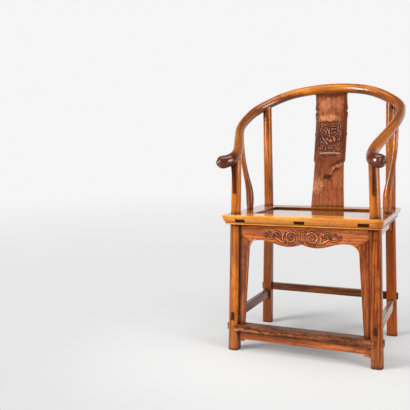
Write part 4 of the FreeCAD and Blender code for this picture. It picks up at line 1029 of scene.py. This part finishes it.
# %% [markdown]
# ## The splat's carving
# A sunk field holds a spray of leaves round a small bud, hatched roundels on the right and a latticed
# diamond below. The plain ledge along the bottom is a paler wood than the rest, a painted highlight, so it
# is a piece of its own.

# %% Splat carving
def hatched(centre, reach, spacing, width):
    """Short crossing ridges inside a diamond."""
    strokes = []
    count = int(reach / spacing)
    for number in range(-count, count + 1):
        shift = number * spacing
        half = reach - abs(shift)
        for sign in (-1, 1):
            start = (centre[0] + (shift - half) / 2, centre[1] + sign * (-shift - half) / 2, width)
            end = (centre[0] + (shift + half) / 2, centre[1] + sign * (-shift + half) / 2, width)
            if half > spacing / 2:
                strokes.append([start, end])
    return strokes


SPLAT_STROKES = [
    [(-43, 788, 1.6), (-42.5, 806, 2.6), (-37, 820, 3.2), (-25, 827, 3.2), (-11, 828, 2.2)],
    [(-11, 828, 1.8), (4, 822, 2.6), (16, 822, 2.6), (28, 829, 2.0)],
    [(-36, 812, 1.6), (-26, 806, 3.6), (-18, 800, 3.2), (-21, 791, 1.6)],
    [(-20, 820, 1.6), (-13, 813, 2.8), (-12, 803, 1.6)],
    [(-6.5, 810, 3.6), (-6, 800, 4.8), (-3.5, 790, 2.6)],
    [(-9, 787, 1.4), (1, 779, 2.6), (12, 781, 2.6), (23, 789, 2.6), (31, 803, 2.6), (33, 818, 2.2),
     (31, 829, 1.6)],
    [(7, 812, 4.6), (9, 811, 4.6)],
    [(4, 794, 3.8), (5, 793, 3.8)],
    [(18, 812, 4.2), (20, 811, 4.2)],
    [(17, 797, 4.0), (19, 796, 4.0)],
    [(40, 830, 2.6), (41, 815, 1.9), (41, 800, 1.9), (43, 786, 2.6)],
    [(-34, 789, 2.2), (-31, 776, 3.0), (-22, 764, 3.2), (-9, 750, 3.4)],
    [(-41, 780, 1.6), (-37, 765, 2.2), (-27, 753, 2.2), (-17, 741, 1.6)],
    [(-15, 773, 4.8), (-11, 768, 5.2)],
    [(0, 767, 7.0), (4, 762, 7.0)],
    [(13, 776, 4.0), (18, 770, 5.4), (17, 762, 4.0)],
    [(-40, 757, 2.4), (-34, 756, 2.8), (-28, 760, 1.4)],
    spiral((-33, 735), 10.5, 3.0, 0.10, 1.3, 2.6, 2.4, 18),
    [(-33, 735, 4.0), (-32, 735, 4.0)],
    [(-21, 746, 1.8), (-15, 733, 2.4), (-14, 723, 2.0), (-20, 717, 1.4)],
    [(12, 746, 1.8), (19, 745, 2.6), (27, 738, 2.6), (28, 728, 2.4), (21, 720, 2.0), (15, 726, 1.6)],
]
LEDGE_STROKES = [[(-43, 713, 2.2), (-20, 714.5, 2.6), (20, 714, 2.6), (42, 712.5, 2.2)]]
for place, reach, spacing, width in (((3, 736), 17, 5.6, 1.7), ((33, 768), 11, 5.4, 1.8),
                                     ((35, 748), 9, 5.2, 1.8), ((36, 727), 9, 5.2, 1.8)):
    SPLAT_STROKES += hatched(place, reach, spacing, width)
SPLAT_STROKES = narrowed(SPLAT_STROKES)
carved_sheet("carving_splat", "red_brown_wood", carved_splat_wood, "back_splat", SPLAT_STROKES,
             (-46, 46), (709, 841), 0.7, 2.3)
# the ledge's pale wood is a painted highlight
carved_sheet("carving_ledge", "red_brown_wood", ledge_highlight_wood, "back_splat", LEDGE_STROKES,
             (-47, 47), (706, 721), 0.7, 2.3)
print("splat strokes:", len(SPLAT_STROKES))
